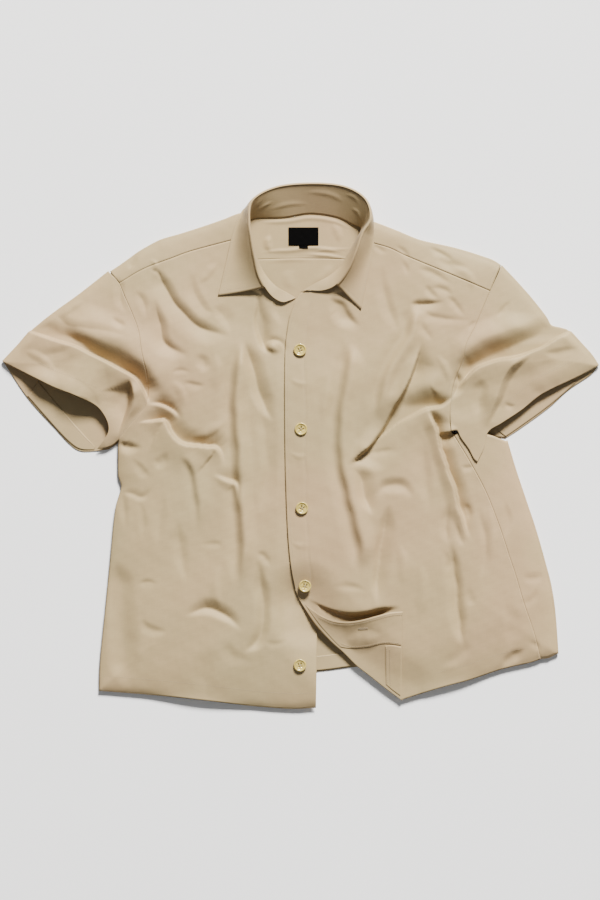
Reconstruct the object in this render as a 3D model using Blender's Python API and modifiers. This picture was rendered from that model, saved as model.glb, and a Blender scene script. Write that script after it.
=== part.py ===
"""Short-sleeved button-front shirt, laid out flat on its back with the front corner turned back.

Metres, +Z up, +Y towards the collar. Places on the laid-out shirt are written on a chart
whose square is CHART millimetres: x counts right and y counts down, as in a plan seen from above.
The wearer's right side lies at -X.
"""
import math

import bmesh
import bpy
import numpy as np

# Driving dimensions, in millimetres
CHART = 1.5           # one chart square
CHART_X = 300.5       # chart square under the origin
CHART_Y = 447.5
CLOTH = 1.2           # wall of one layer of shirting
SEAM = 0.3            # gap between sewn pieces
FLAT_Z = CLOTH / 2    # middle of a layer that lies on the table
EDGE_Z = 4.4          # middle of the top layer where it rounds over the outline
LOFT = 11.5           # middle of the top layer away from the outline
SWELL = 8.0           # more loft away from the neck
ROLLED = 7.5          # middle of the top layer once it has rounded over the outline
ROLL_RUN = 5.0        # how quickly it rounds over
LOFT_RUN = 58.0       # how far in from there the loft builds up
SETTLED = 5.2         # middle of the fronts along the folded-back corner
SETTLE_RUN = 34.0     # how far in from there they lift again
LOWEST_EDGE = 3.9     # the top layer never sinks below this at the outline
LOWEST_INSIDE = 5.6   # nor below this well inside
HOLLOW_Z = 8.3        # nor below this over the hollows that stay open
FADE = 42.0           # length over which a long fold dies away
HEM_OPEN = 5.0        # how far the hem stands up where the body is open
HEM_OPENINGS = (200, 446)  # middles of the open stretches of the hem, on the chart
# Hollows that stay open, on the chart: from x, to x, from y, to y
HOLLOWS = [(180, 220, 330, 705), (430, 462, 556, 690), (30, 80, 345, 410), (514, 570, 345, 415)]
COLLAR_WALL = 1.4
BUTTON_RADIUS = 9.5
BUTTON_THICK = 3.0
LAP = 3.4             # drop of the button edge under the front that laps over it
FLAP_GAP = 2.4        # between the front and the corner turned back over it
LABEL_SIZE = (45.0, 27.0)
LABEL_WALL = 0.6

OUTLINE = [
    (2, 362), (20, 343), (33, 329), (55, 312), (80, 294), (109, 272), (122, 264), (140, 251),
    (160, 240), (180, 234), (205, 226), (225, 219), (237, 213), (252, 206), (285, 200), (335, 200),
    (364, 210), (373, 221), (395, 230), (420, 240), (455, 248), (490, 259), (501, 266), (515, 280),
    (530, 297), (545, 316), (551, 325), (562, 328), (570, 332), (590, 353), (599, 366), (560, 394),
    (530, 418), (507, 440), (515, 470), (525, 500), (535, 530), (545, 565), (551, 590), (555, 620),
    (558, 655), (530, 663), (500, 670), (470, 680), (440, 688), (402, 700), (317, 708), (290, 709),
    (250, 706), (200, 700), (150, 695), (99, 691), (100, 660), (105, 610), (110, 560), (115, 510),
    (121, 487), (118, 475), (117, 444), (107, 450), (82, 451), (70, 443), (50, 422), (25, 393),
]

# Rounded folds, and valleys where the rise is below zero: the line on the chart, then millimetres.
# Walking along the line on the chart, left and right are the reach of the flanks on either hand;
# crisp runs from a soft bottom or crest (0) to a creased one (1).
# Columns: path, rise, left, right, crisp.
RIDGES = [
    # right sleeve
    ([(170, 398), (152, 366), (124, 343), (92, 329), (60, 321)], 7, 32, 40, 0),
    ([(54, 313), (67, 325), (90, 328), (134, 337)], -2.5, 14, 16, 0.5),
    ([(38, 354), (58, 353), (74, 346)], -1.5, 12, 13, 0.3),
    ([(128, 377), (129, 392), (126, 408), (117, 438)], -14, 9, 45, 0.6),
    ([(131, 378), (135, 391), (134, 406), (125, 424)], 5.5, 15, 10, 0.2),
    ([(52, 372), (80, 385), (104, 402)], 8.5, 45, 36, 0),
    # right front, chest
    ([(157, 266), (165, 286), (178, 307), (200, 327), (232, 338)], -7, 15, 30, 0.7),
    ([(154, 298), (159, 322), (166, 344), (192, 358)], -6.5, 14, 24, 0.7),
    ([(196, 356), (204, 363), (203, 374)], -2.5, 12, 17, 0.2),
    ([(192, 272), (194, 290), (203, 308), (217, 315)], -2.5, 12, 17, 0.3),
    ([(214, 306), (224, 316), (233, 334)], -2, 18, 13, 0.3),
    ([(182, 383), (194, 385), (207, 386)], -2, 6, 12, 0.6),
    ([(138, 253), (133, 262), (129, 271)], -2, 8, 10, 0.6),
    ([(113, 275), (119, 285), (121, 300), (127, 316)], -2, 10, 12, 0.5),
    ([(136, 291), (143, 302), (147, 320)], -2, 10, 12, 0.5),
    ([(112, 317), (119, 323), (128, 326)], -2, 8, 10, 0.5),
    ([(243, 340), (249, 358), (257, 385), (264, 404), (275, 422)], -8.5, 22, 14, 0.6),
    ([(262, 400), (265, 440), (268, 475), (259, 512)], -3, 26, 13, 0.3),
    ([(258, 290), (259, 320), (262, 342), (271, 356)], -10, 22, 9, 0.7),
    ([(266, 352), (272, 347), (281, 353)], 5.5, 9, 14, 0),
    ([(286, 292), (277, 306), (284, 330)], -2.5, 18, 10, 0.3),
    # right front, waist and hem
    ([(121, 441), (125, 447), (144, 448)], -5.5, 12, 14, 0.6),
    ([(152, 460), (162, 462), (168, 452)], -2, 12, 12, 0.2),
    ([(118, 492), (132, 493), (143, 496), (154, 484)], -2.5, 13, 9, 0.7),
    ([(123, 488), (124, 505), (125, 528)], -2, 9, 14, 0.4),
    ([(163, 490), (160, 520), (159, 552)], -2, 13, 16, 0.3),
    ([(178, 520), (181, 548), (186, 585)], -2.5, 14, 16, 0.3),
    ([(183, 617), (205, 609), (225, 615), (243, 630)], -7, 20, 12, 0.7),
    ([(257, 556), (262, 590), (263, 620), (257, 640), (244, 653)], -6.5, 15, 15, 0.3),
    ([(256, 552), (264, 556), (272, 568)], -2, 8, 12, 0.5),
    ([(142, 618), (150, 629), (170, 632)], -2, 10, 13, 0.2),
    ([(138, 583), (148, 582), (158, 584)], -1.5, 6, 12, 0.5),
    ([(117, 560), (120, 620), (127, 690)], -5.5, 30, 27, 0),
    ([(229, 640), (231, 655), (256, 664)], -1.5, 12, 16, 0.1),
    ([(216, 648), (206, 670), (204, 700)], -1.5, 16, 26, 0),
    # left front, chest
    ([(388, 408), (420, 388), (446, 374)], 5, 34, 30, 0),
    ([(327, 298), (340, 307), (346, 317), (361, 328)], -7.5, 12, 24, 0.6),
    ([(380, 262), (384, 292), (391, 312), (400, 335)], -2.5, 12, 17, 0.4),
    ([(410, 303), (422, 305), (446, 302)], -5.5, 10, 18, 0.8),
    ([(420, 312), (422, 326), (433, 342)], -2, 9, 12, 0.6),
    ([(424, 311), (434, 318), (472, 321)], -2, 9, 12, 0.6),
    ([(428, 245), (441, 252), (456, 262)], -2.5, 6, 12, 0.8),
    ([(434, 257), (450, 264), (470, 268)], -2, 10, 12, 0.3),
    ([(416, 268), (432, 273), (455, 286)], -2, 8, 12, 0.5),
    ([(430, 288), (443, 290), (453, 297)], -2, 8, 12, 0.6),
    ([(445, 296), (455, 305), (464, 318)], -2, 8, 10, 0.6),
    ([(424, 284), (431, 293), (439, 301)], -2, 8, 10, 0.4),
    ([(457, 368), (458, 384), (451, 400)], -7, 12, 12, 0.6),
    ([(468, 331), (471, 325), (476, 321)], -1, 5, 6, 0.6),
    # left front, waist and hem
    ([(352, 466), (361, 479), (366, 500), (374, 516)], -6.5, 24, 14, 0.5),
    ([(375, 500), (386, 487), (402, 486), (415, 498)], -4, 14, 16, 0.3),
    ([(421, 432), (424, 470), (430, 512)], -2.5, 13, 20, 0.1),
    ([(390, 503), (382, 535), (378, 570), (377, 606)], -7, 22, 12, 0.5),
    ([(450, 500), (446, 518), (446, 532), (451, 548)], -3, 9, 12, 0.6),
    ([(451, 542), (454, 575), (458, 610), (464, 650)], -7.5, 14, 18, 0.7),
    ([(476, 505), (484, 532), (485, 556), (477, 584)], -2.5, 12, 9, 0.6),
    ([(464, 502), (468, 512), (470, 524)], -2, 8, 8, 0.4),
    ([(454, 520), (460, 536), (465, 548)], -2, 6, 8, 0.4),
    ([(440, 548), (448, 562), (444, 574)], -1, 8, 10, 0.3),
    ([(461, 466), (468, 468), (476, 466)], -1.5, 6, 9, 0.6),
    ([(500, 669), (512, 659), (524, 648)], -5.5, 14, 14, 0.5),
    ([(520, 578), (533, 578), (547, 574)], -2, 8, 10, 0.6),
    ([(466, 585), (470, 598), (476, 606)], -1.5, 10, 12, 0.2),
    ([(470, 640), (460, 655), (434, 669)], -1.5, 12, 16, 0.2),
    ([(505, 600), (512, 625), (508, 648)], -2, 21, 16, 0),
    # left sleeve
    ([(448, 368), (474, 345), (500, 332), (545, 322)], 7, 30, 30, 0.1),
    ([(532, 353), (514, 363), (503, 379), (494, 401), (485, 427)], 9, 12, 30, 0.3),
    ([(487, 378), (480, 395), (474, 418)], -2.5, 13, 17, 0.2),
    ([(504, 402), (510, 406), (517, 405)], -1.5, 6, 9, 0.5),
    ([(528, 388), (548, 376), (576, 362)], 2.5, 34, 28, 0),
]

# Folds that tuck under: the cloth rises on the right hand of the line and dips on the left,
# over a step twice as wide as the edge.
# Columns: path, rise, dip, left, right, edge.
TUCKS = [
    ([(14, 325), (33, 333), (70, 344), (95, 357), (129, 373), (142, 386), (149, 407)], 5, 14, 30, 40, 2),
    ([(147, 403), (160, 405), (171, 410), (180, 420)], 3, 8, 22, 34, 2),
    ([(137, 424), (154, 421), (164, 420), (171, 431), (184, 443), (205, 446), (218, 448), (224, 468)],
     5, 11, 30, 50, 2),
    ([(199, 536), (197, 507), (194, 485), (189, 464), (180, 456)], 3.5, 2.5, 18, 30, 7),
    ([(212, 474), (228, 480), (237, 484), (240, 504)], 3.5, 4.5, 28, 18, 3),
    ([(240, 590), (240, 535), (238, 500), (236, 460), (234, 420), (234, 380), (239, 338)],
     8.5, 6.5, 26, 26, 11),
    ([(265, 346), (272, 342), (281, 344), (286, 357)], 2.5, 4, 12, 10, 2.5),
    ([(358, 574), (359, 548), (354, 525), (347, 498), (340, 465), (338, 440), (338, 415), (342, 390),
      (347, 362), (347, 342)], 7, 6.5, 26, 30, 11),
    ([(373, 428), (379, 400), (385, 372), (397, 350), (408, 335), (411, 318), (415, 304)],
     6.5, 4, 24, 30, 10),
    ([(422, 342), (414, 368), (404, 392), (393, 413), (378, 436), (364, 452), (349, 466)],
     6, 13, 42, 22, 2),
    ([(362, 451), (384, 433), (402, 421), (422, 411), (440, 406), (453, 397)], 4, 15, 42, 40, 2),
    ([(427, 409), (434, 423), (439, 440), (445, 460), (452, 482), (460, 512), (472, 543)],
     6, 11, 22, 20, 2),
    ([(459, 430), (448, 434), (436, 436)], 3.5, 9, 25, 18, 2.5),
    ([(456, 388), (474, 371), (486, 364), (513, 357), (536, 349), (568, 332), (590, 322)],
     6, 16, 42, 36, 2),
]

# The front sinks under the free edge of the corner that is turned back over it
UNDER_FLAP = ([(402, 607), (384, 609), (374, 611.5), (362, 614), (345, 614.5), (326, 609.5), (304, 598)],
              1.5, 15, 34, 26, 4)

# Along here the fronts lie down on the back: the folded edge of the corner and the edge beside it
SETTLE_LINE = [(303, 604), (317, 624), (344, 652), (371, 676), (402, 700)]

BUTTONS = [(300, 350), (301, 429), (302, 508), (305, 586), (300, 665)]


def plan(point):
    """Millimetres in the row frame of a place on the chart."""
    return (point[0] - CHART_X) * CHART, (CHART_Y - point[1]) * CHART


# Curves on the chart

def smooth_run(points, steps=14):
    """A curve through the points (Catmull-Rom), as many short pieces."""
    p = np.array(points, float)
    if len(p) < 3:
        return p
    ends = np.vstack([2 * p[0] - p[1], p, 2 * p[-1] - p[-2]])
    t = np.linspace(0, 1, steps, endpoint=False)[:, None]
    made = []
    for a, b, c, d in zip(ends[:-3], ends[1:-2], ends[2:-1], ends[3:]):
        made.append(0.5 * (2 * b + (c - a) * t + (2 * a - 5 * b + 4 * c - d) * t**2
                           + (3 * b - a - 3 * c + d) * t**3))
    return np.vstack(made + [p[-1:]])


def edge_of(*runs):
    """A function of 0..1 along smooth runs that meet at corners, by length."""
    line = np.vstack([smooth_run(run) for run in runs])
    keep = np.r_[True, np.linalg.norm(np.diff(line, axis=0), axis=1) > 1e-6]
    line = line[keep]
    along = np.r_[0, np.cumsum(np.linalg.norm(np.diff(line, axis=0), axis=1))]
    along /= along[-1]

    def at(t):
        return np.stack([np.interp(t, along, line[:, k]) for k in (0, 1)], axis=-1)
    return at


def coons(bottom, top, left, right, u, v):
    """Places of a four-sided patch: rows follow v, columns follow u."""
    b, t = bottom(u)[None, :, :], top(u)[None, :, :]
    l, r = left(v)[:, None, :], right(v)[:, None, :]
    uu, vv = u[None, :, None], v[:, None, None]
    corners = ((1 - uu) * (1 - vv) * b[:, :1] + uu * (1 - vv) * b[:, -1:]
               + (1 - uu) * vv * t[:, :1] + uu * vv * t[:, -1:])
    return (1 - vv) * b + vv * t + (1 - uu) * l + uu * r - corners


# The lie of the top layer

def smoothstep(x):
    x = np.clip(x, 0, 1)
    return x * x * (3 - 2 * x)


def off_line(x, y, line):
    """Distance in mm from each place to a line, signed to the right hand, and the share along it."""
    best = np.full(x.shape, 1e9)
    side = np.zeros(x.shape)
    share = np.zeros(x.shape)
    steps = len(line) - 1
    for i in range(steps):
        ax, ay = line[i]
        dx, dy = line[i + 1] - line[i]
        t = np.clip(((x - ax) * dx + (y - ay) * dy) / (dx * dx + dy * dy), 0, 1)
        gx, gy = x - ax - t * dx, y - ay - t * dy
        d = np.hypot(gx, gy)
        near = d < best
        best = np.where(near, d, best)
        side = np.where(near, np.where(dx * gy - dy * gx >= 0, 1.0, -1.0), side)
        share = np.where(near, (i + t) / steps, share)
    return best * side * CHART, share


def fold_line(row):
    """The curve of a fold on the chart."""
    return smooth_run(row[0], 5)


def hump(s, crisp=0.0):
    """1 at the crest, 0 at the foot of a flank; a crisp one comes to an edge."""
    s = np.clip(np.abs(s), 0, 1)
    return (1 - s)**2 * (1 + 2 * (1 - crisp) * s)


def fading(share, line):
    """Folds rise and die away along their length, over FADE millimetres or two fifths of it."""
    length = np.linalg.norm(np.diff(line, axis=0), axis=1).sum() * CHART
    part = min(0.4, FADE / length)
    return smoothstep(share / part) * smoothstep((1 - share) / part)


def ridge_height(x, y, row):
    """Height that a ridge or valley adds: its flanks narrow where it dies away."""
    rise, left, right, crisp = row[1:]
    line = fold_line(row)
    d, share = off_line(x, y, line)
    fade = fading(share, line)
    reach = np.where(d < 0, left, right) * (0.45 + 0.55 * fade)
    return rise * hump(d / reach, crisp) * fade


def tuck_height(x, y, row):
    """Height that a tuck adds: a dip on the left hand and a rise on the right."""
    rise, dip, left, right, edge = row[1:]
    line = fold_line(row)
    d, share = off_line(x, y, line)
    over = smoothstep((d + edge) / (2 * edge))
    fade = fading(share, line)
    taper = 0.45 + 0.55 * fade
    low = -dip * hump(d / left / taper, 0.7)
    high = rise * hump(d / right / taper)
    return (low * (1 - over) + high * over) * fade


def inland(x, y):
    """Distance in mm from the shirt's outline."""
    ring = np.array(OUTLINE + OUTLINE[:1], float)
    return np.abs(off_line(x, y, ring)[0])


def top_layer(x, y):
    """Middle of the top layer's wall above the table, in mm."""
    x, y = np.broadcast_arrays(np.asarray(x, float), np.asarray(y, float))
    inside = inland(x, y)
    open_hem = sum(hump((x - middle) / 62) for middle in HEM_OPENINGS) * smoothstep((y - 610) / 50)
    edge = EDGE_Z + HEM_OPEN * open_hem
    from_neck = np.hypot(x - 303, y - 250)
    loft = LOFT + SWELL * smoothstep((from_neck - 80) / 60)
    z = edge + (ROLLED - edge) * (1 - np.exp(-inside / ROLL_RUN))
    z += (loft - ROLLED) * (1 - np.exp(-inside / LOFT_RUN))
    to_fold = np.abs(off_line(x, y, smooth_run(SETTLE_LINE, 3))[0])
    z -= (z - SETTLED) * hump(to_fold / (2 * SETTLE_RUN))
    folds = np.zeros(x.shape)
    for row in RIDGES:
        folds += ridge_height(x, y, row)
    for row in TUCKS:
        folds += tuck_height(x, y, row)
    z = z + folds * (0.35 + 0.65 * smoothstep(inside / 12.0))
    within = np.zeros(x.shape)
    for x0, x1, y0, y1 in HOLLOWS:
        out = np.hypot(np.maximum(abs(x - (x0 + x1) / 2) - (x1 - x0) / 2, 0),
                       np.maximum(abs(y - (y0 + y1) / 2) - (y1 - y0) / 2, 0))
        within = np.maximum(within, smoothstep(1 - out / 12))
    inner = LOWEST_INSIDE + (HOLLOW_Z - LOWEST_INSIDE) * within
    lowest = LOWEST_EDGE + (inner - LOWEST_EDGE) * (1 - np.exp(-inside / 12.0))
    lowest = np.maximum(lowest, np.minimum(edge - 0.6, inner))
    soft = 0.9
    return lowest + soft * np.logaddexp(0, (z - lowest) / soft)


# Making solids

def material(name, colour, roughness):
    made = bpy.data.materials.new(name)
    made.use_nodes = True
    shader = made.node_tree.nodes["Principled BSDF"]
    shader.inputs["Base Color"].default_value = (*colour, 1)
    shader.inputs["Roughness"].default_value = roughness
    made.diffuse_color = (*colour, 1)
    return made


def raised(grid, z):
    """Points in mm from chart places and heights."""
    out = np.empty(grid.shape[:-1] + (3,))
    out[..., 0] = (grid[..., 0] - CHART_X) * CHART
    out[..., 1] = (CHART_Y - grid[..., 1]) * CHART
    out[..., 2] = z
    return out


def cloth(name, patches, wall, look, home):
    """One sheet of cloth from grids of points that share their edges, with an even wall."""
    mesh = bpy.data.meshes.new(name)
    bm = bmesh.new()
    for grid in patches:
        rows, columns = grid.shape[:2]
        verts = [[bm.verts.new(grid[j, i] / 1000) for i in range(columns)] for j in range(rows)]
        for j in range(rows - 1):
            for i in range(columns - 1):
                bm.faces.new((verts[j][i], verts[j][i + 1], verts[j + 1][i + 1], verts[j + 1][i]))
    bmesh.ops.remove_doubles(bm, verts=bm.verts, dist=2e-5)
    bmesh.ops.recalc_face_normals(bm, faces=bm.faces)
    bm.to_mesh(mesh)
    bm.free()
    mesh.shade_smooth()
    mesh.materials.append(look)
    made = bpy.data.objects.new(name, mesh)
    home.objects.link(made)
    solid = made.modifiers.new("wall", "SOLIDIFY")
    solid.thickness = wall / 1000
    solid.offset = 0
    return made


def turn(lower, upper, out, steps=3):
    """Grid that carries cloth round a fold, from one edge to the edge above it.

    lower and upper are rows of points; out is the unit direction in plan that the fold bulges to."""
    middle = (lower + upper) / 2
    half = (upper - lower) / 2
    radius = np.linalg.norm(half, axis=1)[:, None]
    rows = []
    for k in range(steps + 1):
        a = math.pi * k / steps
        bulge = np.zeros_like(middle)
        bulge[:, :2] = out
        rows.append(middle - half * math.cos(a) + bulge * radius * math.sin(a))
    return np.array(rows)


def outward(line):
    """Unit normals in plan of a row of points, on the right hand walking along it in the row frame."""
    step = np.gradient(line[:, :2], axis=0)
    normal = np.stack([step[:, 1], -step[:, 0]], axis=1)
    return normal / np.linalg.norm(normal, axis=1)[:, None]


# Edges that pieces share

# The band: its base on the chart, how far that lies on the fronts, then its top and the top's height.
# Columns: base_x, base_y, on_front, top_x, top_y, top_z.
BAND = [
    (296, 298, 1.0, 291, 300, 10.5),
    (287.5, 293, 1.0, 281.5, 302, 13),
    (275.5, 286, 1.0, 270, 294.5, 17.5),
    (265, 274, 1.0, 259.5, 277, 25),
    (256.5, 257, 1.0, 255, 258, 32),
    (251.5, 241, 1.0, 252, 240, 36),
    (249.5, 229, 0.7, 250, 222, 36),
    (252, 218, 0.2, 253, 202, 30),
    (284, 217, 0.0, 276, 188.8, 24),
    (310, 213, 0.0, 310, 184.9, 22),
    (336, 216.5, 0.0, 343, 187.8, 24),
    (352, 223.5, 0.2, 364, 200, 31),
    (361, 228, 0.7, 369.5, 219, 36),
    (356, 240, 1.0, 361.5, 234, 37),
    (349, 252.5, 1.0, 355, 252.5, 35),
    (340, 266.5, 1.0, 347, 271, 28),
    (329, 276, 1.0, 336, 285, 20),
    (315, 283.5, 1.0, 323, 290.5, 14.5),
    (300.5, 292, 1.0, 306, 290, 13),
]
# The leaf: the row of the band that it hangs from, its outer edge, and how far it bulges between them.
# Columns: top_row, out_x, out_y, out_z, bulge.
LEAF = [
    (2.45, 218, 296, 13, 2),
    (4, 226, 262, 12, 5),
    (5, 232, 236, 11.5, 6),
    (6, 240, 214, 10, 4),
    (7, 251, 205, 4, 2),
    (8, 281, 201.5, 1.0, 1.5),
    (9, 310, 200.5, 1.0, 1.5),
    (10, 337, 201, 1.0, 1.5),
    (11, 362, 208, 3, 2),
    (12, 372, 223, 11, 3),
    (13, 374, 242, 12, 5),
    (14, 371, 262, 12.5, 4),
    (16, 361, 310, 13, 2),
]

RIGHT_ARMHOLE = [(109, 272), (119, 283), (125, 297), (133, 315), (139, 332), (142, 352),
                 (147, 376), (147, 402), (138, 416), (126, 430), (119, 439)]
LEFT_ARMHOLE = [(501, 266), (498, 274), (490, 291), (481, 312), (475, 326), (466, 344),
                (462, 362), (455, 380), (451, 398), (450, 416), (451, 431)]
RIGHT_SHOULDER_SEAM = [(119, 283), (143, 269), (172, 258), (191, 251), (228, 241), (247, 236)]
LEFT_SHOULDER_SEAM = [(359, 238.5), (373, 243), (390, 248), (407, 256), (445, 272), (490, 291)]
RIGHT_BACK_ARMHOLE = [(118, 286), (131, 315), (140, 352), (145, 395), (135, 425), (119, 440.5)]
LEFT_BACK_ARMHOLE = [(491, 288), (478, 318), (467, 350), (457, 390), (453, 418), (452, 430)]
YOKE_SEAM = [(118, 286), (180, 266), (260, 259), (345, 259), (420, 267), (491, 288)]
LEFT_SIDE_SEAM = [(453, 434), (470, 462), (486, 492), (499, 525), (509, 555), (516, 576),
                  (524, 603), (534, 632), (541, 659)]
RIGHT_SLEEVE_HEM = [(3, 362), (27, 398), (54, 428), (69, 444), (80, 451), (96, 451)]
LEFT_SLEEVE_HEM = [(598, 366), (591, 375), (569, 390), (549, 408), (520, 429), (506, 438)]
BACK_HEM = [(100, 689), (200, 682), (316, 672), (359, 667), (450, 661), (557, 654)]
FOLD_BACK = [(295.5, 589.6), (301, 602), (317, 624), (331, 640), (344, 652), (357, 665), (371, 676),
             (386, 688), (402, 700)]
FLAP_EDGE = [(295.5, 589.6), (305, 603), (318, 613.5), (331, 619.5), (346, 621.5), (361, 619.5),
             (376, 615.5), (390, 612), (403, 611)]


def lapped(x, y):
    """How far the button edge lies under the front that laps over it."""
    return LAP * smoothstep((x - 276) / 12) * smoothstep((650 - y) / 22)


def moved(points, dx, dy):
    return [(x + dx, y + dy) for x, y in points]


GAP = SEAM / 2 / CHART  # half a seam, in chart squares


def right_front(home, look):
    """The wearer's right front, with the buttons; its edge runs under the other front."""
    hem = edge_of([(99, 691), (150, 695), (200, 700), (250, 706), (290, 709), (316, 708)])
    shoulder = edge_of(moved(RIGHT_SHOULDER_SEAM, 0, GAP + 0.1))
    side = edge_of([(99, 691), (100, 660), (105, 610), (110, 560), (115, 510), (121, 487), (118, 475),
                    (118, 446)], moved(RIGHT_ARMHOLE[:1:-1], GAP + 0.1, 0), [(125.2, 297), (119.2, 283.2)])
    neck = [(row[0] - 0.4, row[1] + 0.8) for row in BAND[:6]]
    front = edge_of([(316, 708), (317, 622), (316, 500), (314, 400), (312, 320), (306, 301.5)],
                    [(306, 301.5)] + neck + [(247, 236.2)])
    grid = coons(hem, shoulder, side, front, np.linspace(0, 1, 24), np.linspace(0, 1, 35))
    x, y = grid[..., 0], grid[..., 1]
    z = np.maximum(top_layer(x, y) - lapped(x, y), FLAT_Z + CLOTH + SEAM)
    return cloth("right_front", [raised(grid, z)], CLOTH, look, home)


def left_front_edges():
    neck = [(row[0] + 0.3, row[1] + 0.8) for row in BAND[:12:-1]]
    front = edge_of([(295.5, 589.6), (291, 566), (287.7, 530), (285.5, 471), (284.7, 412), (285, 354.7),
                     (287, 332), (290.8, 312.5), (298.5, 295.5), (304, 291.5)],
                    [(304, 291.5)] + neck[1:] + [(359, 238.7)])
    seam = moved(LEFT_SIDE_SEAM, -GAP - 0.1, 0.2)
    side = edge_of(seam[::-1], moved(LEFT_ARMHOLE[:1:-1], -GAP - 0.1, 0.2),
                   [(490 - GAP - 0.2, 291.5), (489, 292)])
    return front, side


def left_front(home, look):
    """The wearer's left front, whose lower corner is folded up over itself."""
    front, side = left_front_edges()
    fold = edge_of(FOLD_BACK)
    hem = edge_of([(402, 700), (440, 688), (470, 680), (500, 670), (530, 663), (540, 659.5)])
    shoulder = edge_of(moved(LEFT_SHOULDER_SEAM, 0, GAP + 0.1))
    folded = 13
    share = 0.46

    def foot(u):
        on_fold = fold(np.clip(u / share, 0, 1))
        on_hem = hem(np.clip((u - share) / (1 - share), 0, 1))
        return np.where((u <= share)[:, None], on_fold, on_hem)

    u = np.r_[np.linspace(0, share, folded), np.linspace(share, 1, 13)[1:]]
    grid = coons(foot, shoulder, front, side, u, np.linspace(0, 1, 33))
    x, y = grid[..., 0], grid[..., 1]
    main = raised(grid, front_height(x, y))
    flap = flap_points(fold, folded, 13)
    lower, upper = main[0, :folded], flap[0]
    roll = turn(lower, upper, outward(lower))
    return cloth("left_front", [main, roll, flap], CLOTH, look, home)


def front_height(x, y):
    """The left front, sunk under the free edge of its turned-back corner but clear of the right front."""
    sink = np.maximum(tuck_height(x, y, UNDER_FLAP), -1.2 - 20 * smoothstep((x - 317) / 16))
    z = top_layer(x, y) + sink
    soft = 0.9
    return LOWEST_INSIDE + soft * np.logaddexp(0, (z - LOWEST_INSIDE) / soft)


def flap_height(x, y):
    """The turned-back corner lies over the front and lifts along its free edge."""
    to_edge = np.abs(off_line(x, y, smooth_run(FLAP_EDGE))[0])
    lift = 7.5 * np.exp(-to_edge / 22.0) * smoothstep((x - 300) / 22) * smoothstep((412 - x) / 40)
    swell = ridge_height(x, y, ([(345, 640), (362, 640), (384, 636)], 3.0, 18, 22, 0))
    opened = smoothstep(np.hypot(x - 295.5, y - 589.6) / 42)
    return top_layer(x, y) + (FLAP_GAP + lift + swell) * opened


def flap_points(fold, columns, rows):
    """The turned-back corner: from the fold line up to the front edge, hem at its right side."""
    free = edge_of(FLAP_EDGE)
    hem = edge_of([(402, 700), (402.5, 690), (402, 655), (403, 611)])
    pivot = edge_of([(295.5, 589.6), (295.51, 589.61)])
    grid = coons(fold, free, pivot, hem, np.linspace(0, 1, columns), np.linspace(0, 1, rows))
    grid[:, 0] = (295.5, 589.6)
    grid[0] = fold(np.linspace(0, 1, columns))
    x, y = grid[..., 0], grid[..., 1]
    return raised(grid, flap_height(x, y))


def back(home, look):
    """The back panel lies on the table and comes round the wearer's left side to the seam."""
    rows, columns = np.linspace(0, 1, 17), np.linspace(0, 1, 7)
    hem = edge_of(BACK_HEM)
    chest = edge_of([(119, 441), (240, 441), (380, 441), (506, 441)])
    left = edge_of([(100, 689), (101, 660), (106, 610), (111, 560), (116, 510), (121, 487), (119, 475),
                    (119, 441)])
    right = edge_of([(557, 654), (555, 620), (551, 590), (545, 565), (535, 530), (525, 500), (515, 470),
                     (506, 441)])
    lower = coons(hem, chest, left, right, columns, rows)
    flat = raised(lower, FLAT_Z)
    seam = edge_of(moved(YOKE_SEAM, 0, GAP + 0.1))
    arm_left = edge_of([(119, 441)], moved(RIGHT_BACK_ARMHOLE[-2:0:-1], GAP + 0.5, 0.5), [tuple(seam(0))])
    arm_right = edge_of([(506, 441), (488, 437.5), (470, 434), (451, 432)],
                        moved(LEFT_BACK_ARMHOLE[-2:0:-1], -GAP - 0.1, 0), [tuple(seam(1))])
    upper = coons(chest, seam, arm_left, arm_right, columns, np.linspace(0, 1, 13))
    rim = lower[:, -1]
    side = edge_of(moved(LEFT_SIDE_SEAM, GAP + 0.1, 0)[::-1])
    wrap_hem = edge_of([tuple(side(0)), (549, 658), tuple(rim[0])])
    wrap_top = edge_of([tuple(side(1)), (485, 434), tuple(rim[-1])])
    wrap = coons(wrap_hem, wrap_top, side, edge_of([tuple(p) for p in rim]), columns, rows)
    wrap[:, -1] = rim
    z = top_layer(wrap[..., 0], wrap[..., 1])
    over = raised(wrap, z)
    roll = turn(flat[:, -1], over[:, -1], outward(flat[:, -1]))
    return cloth("back", [flat, raised(upper, FLAT_Z), roll, over], CLOTH, look, home)


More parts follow.
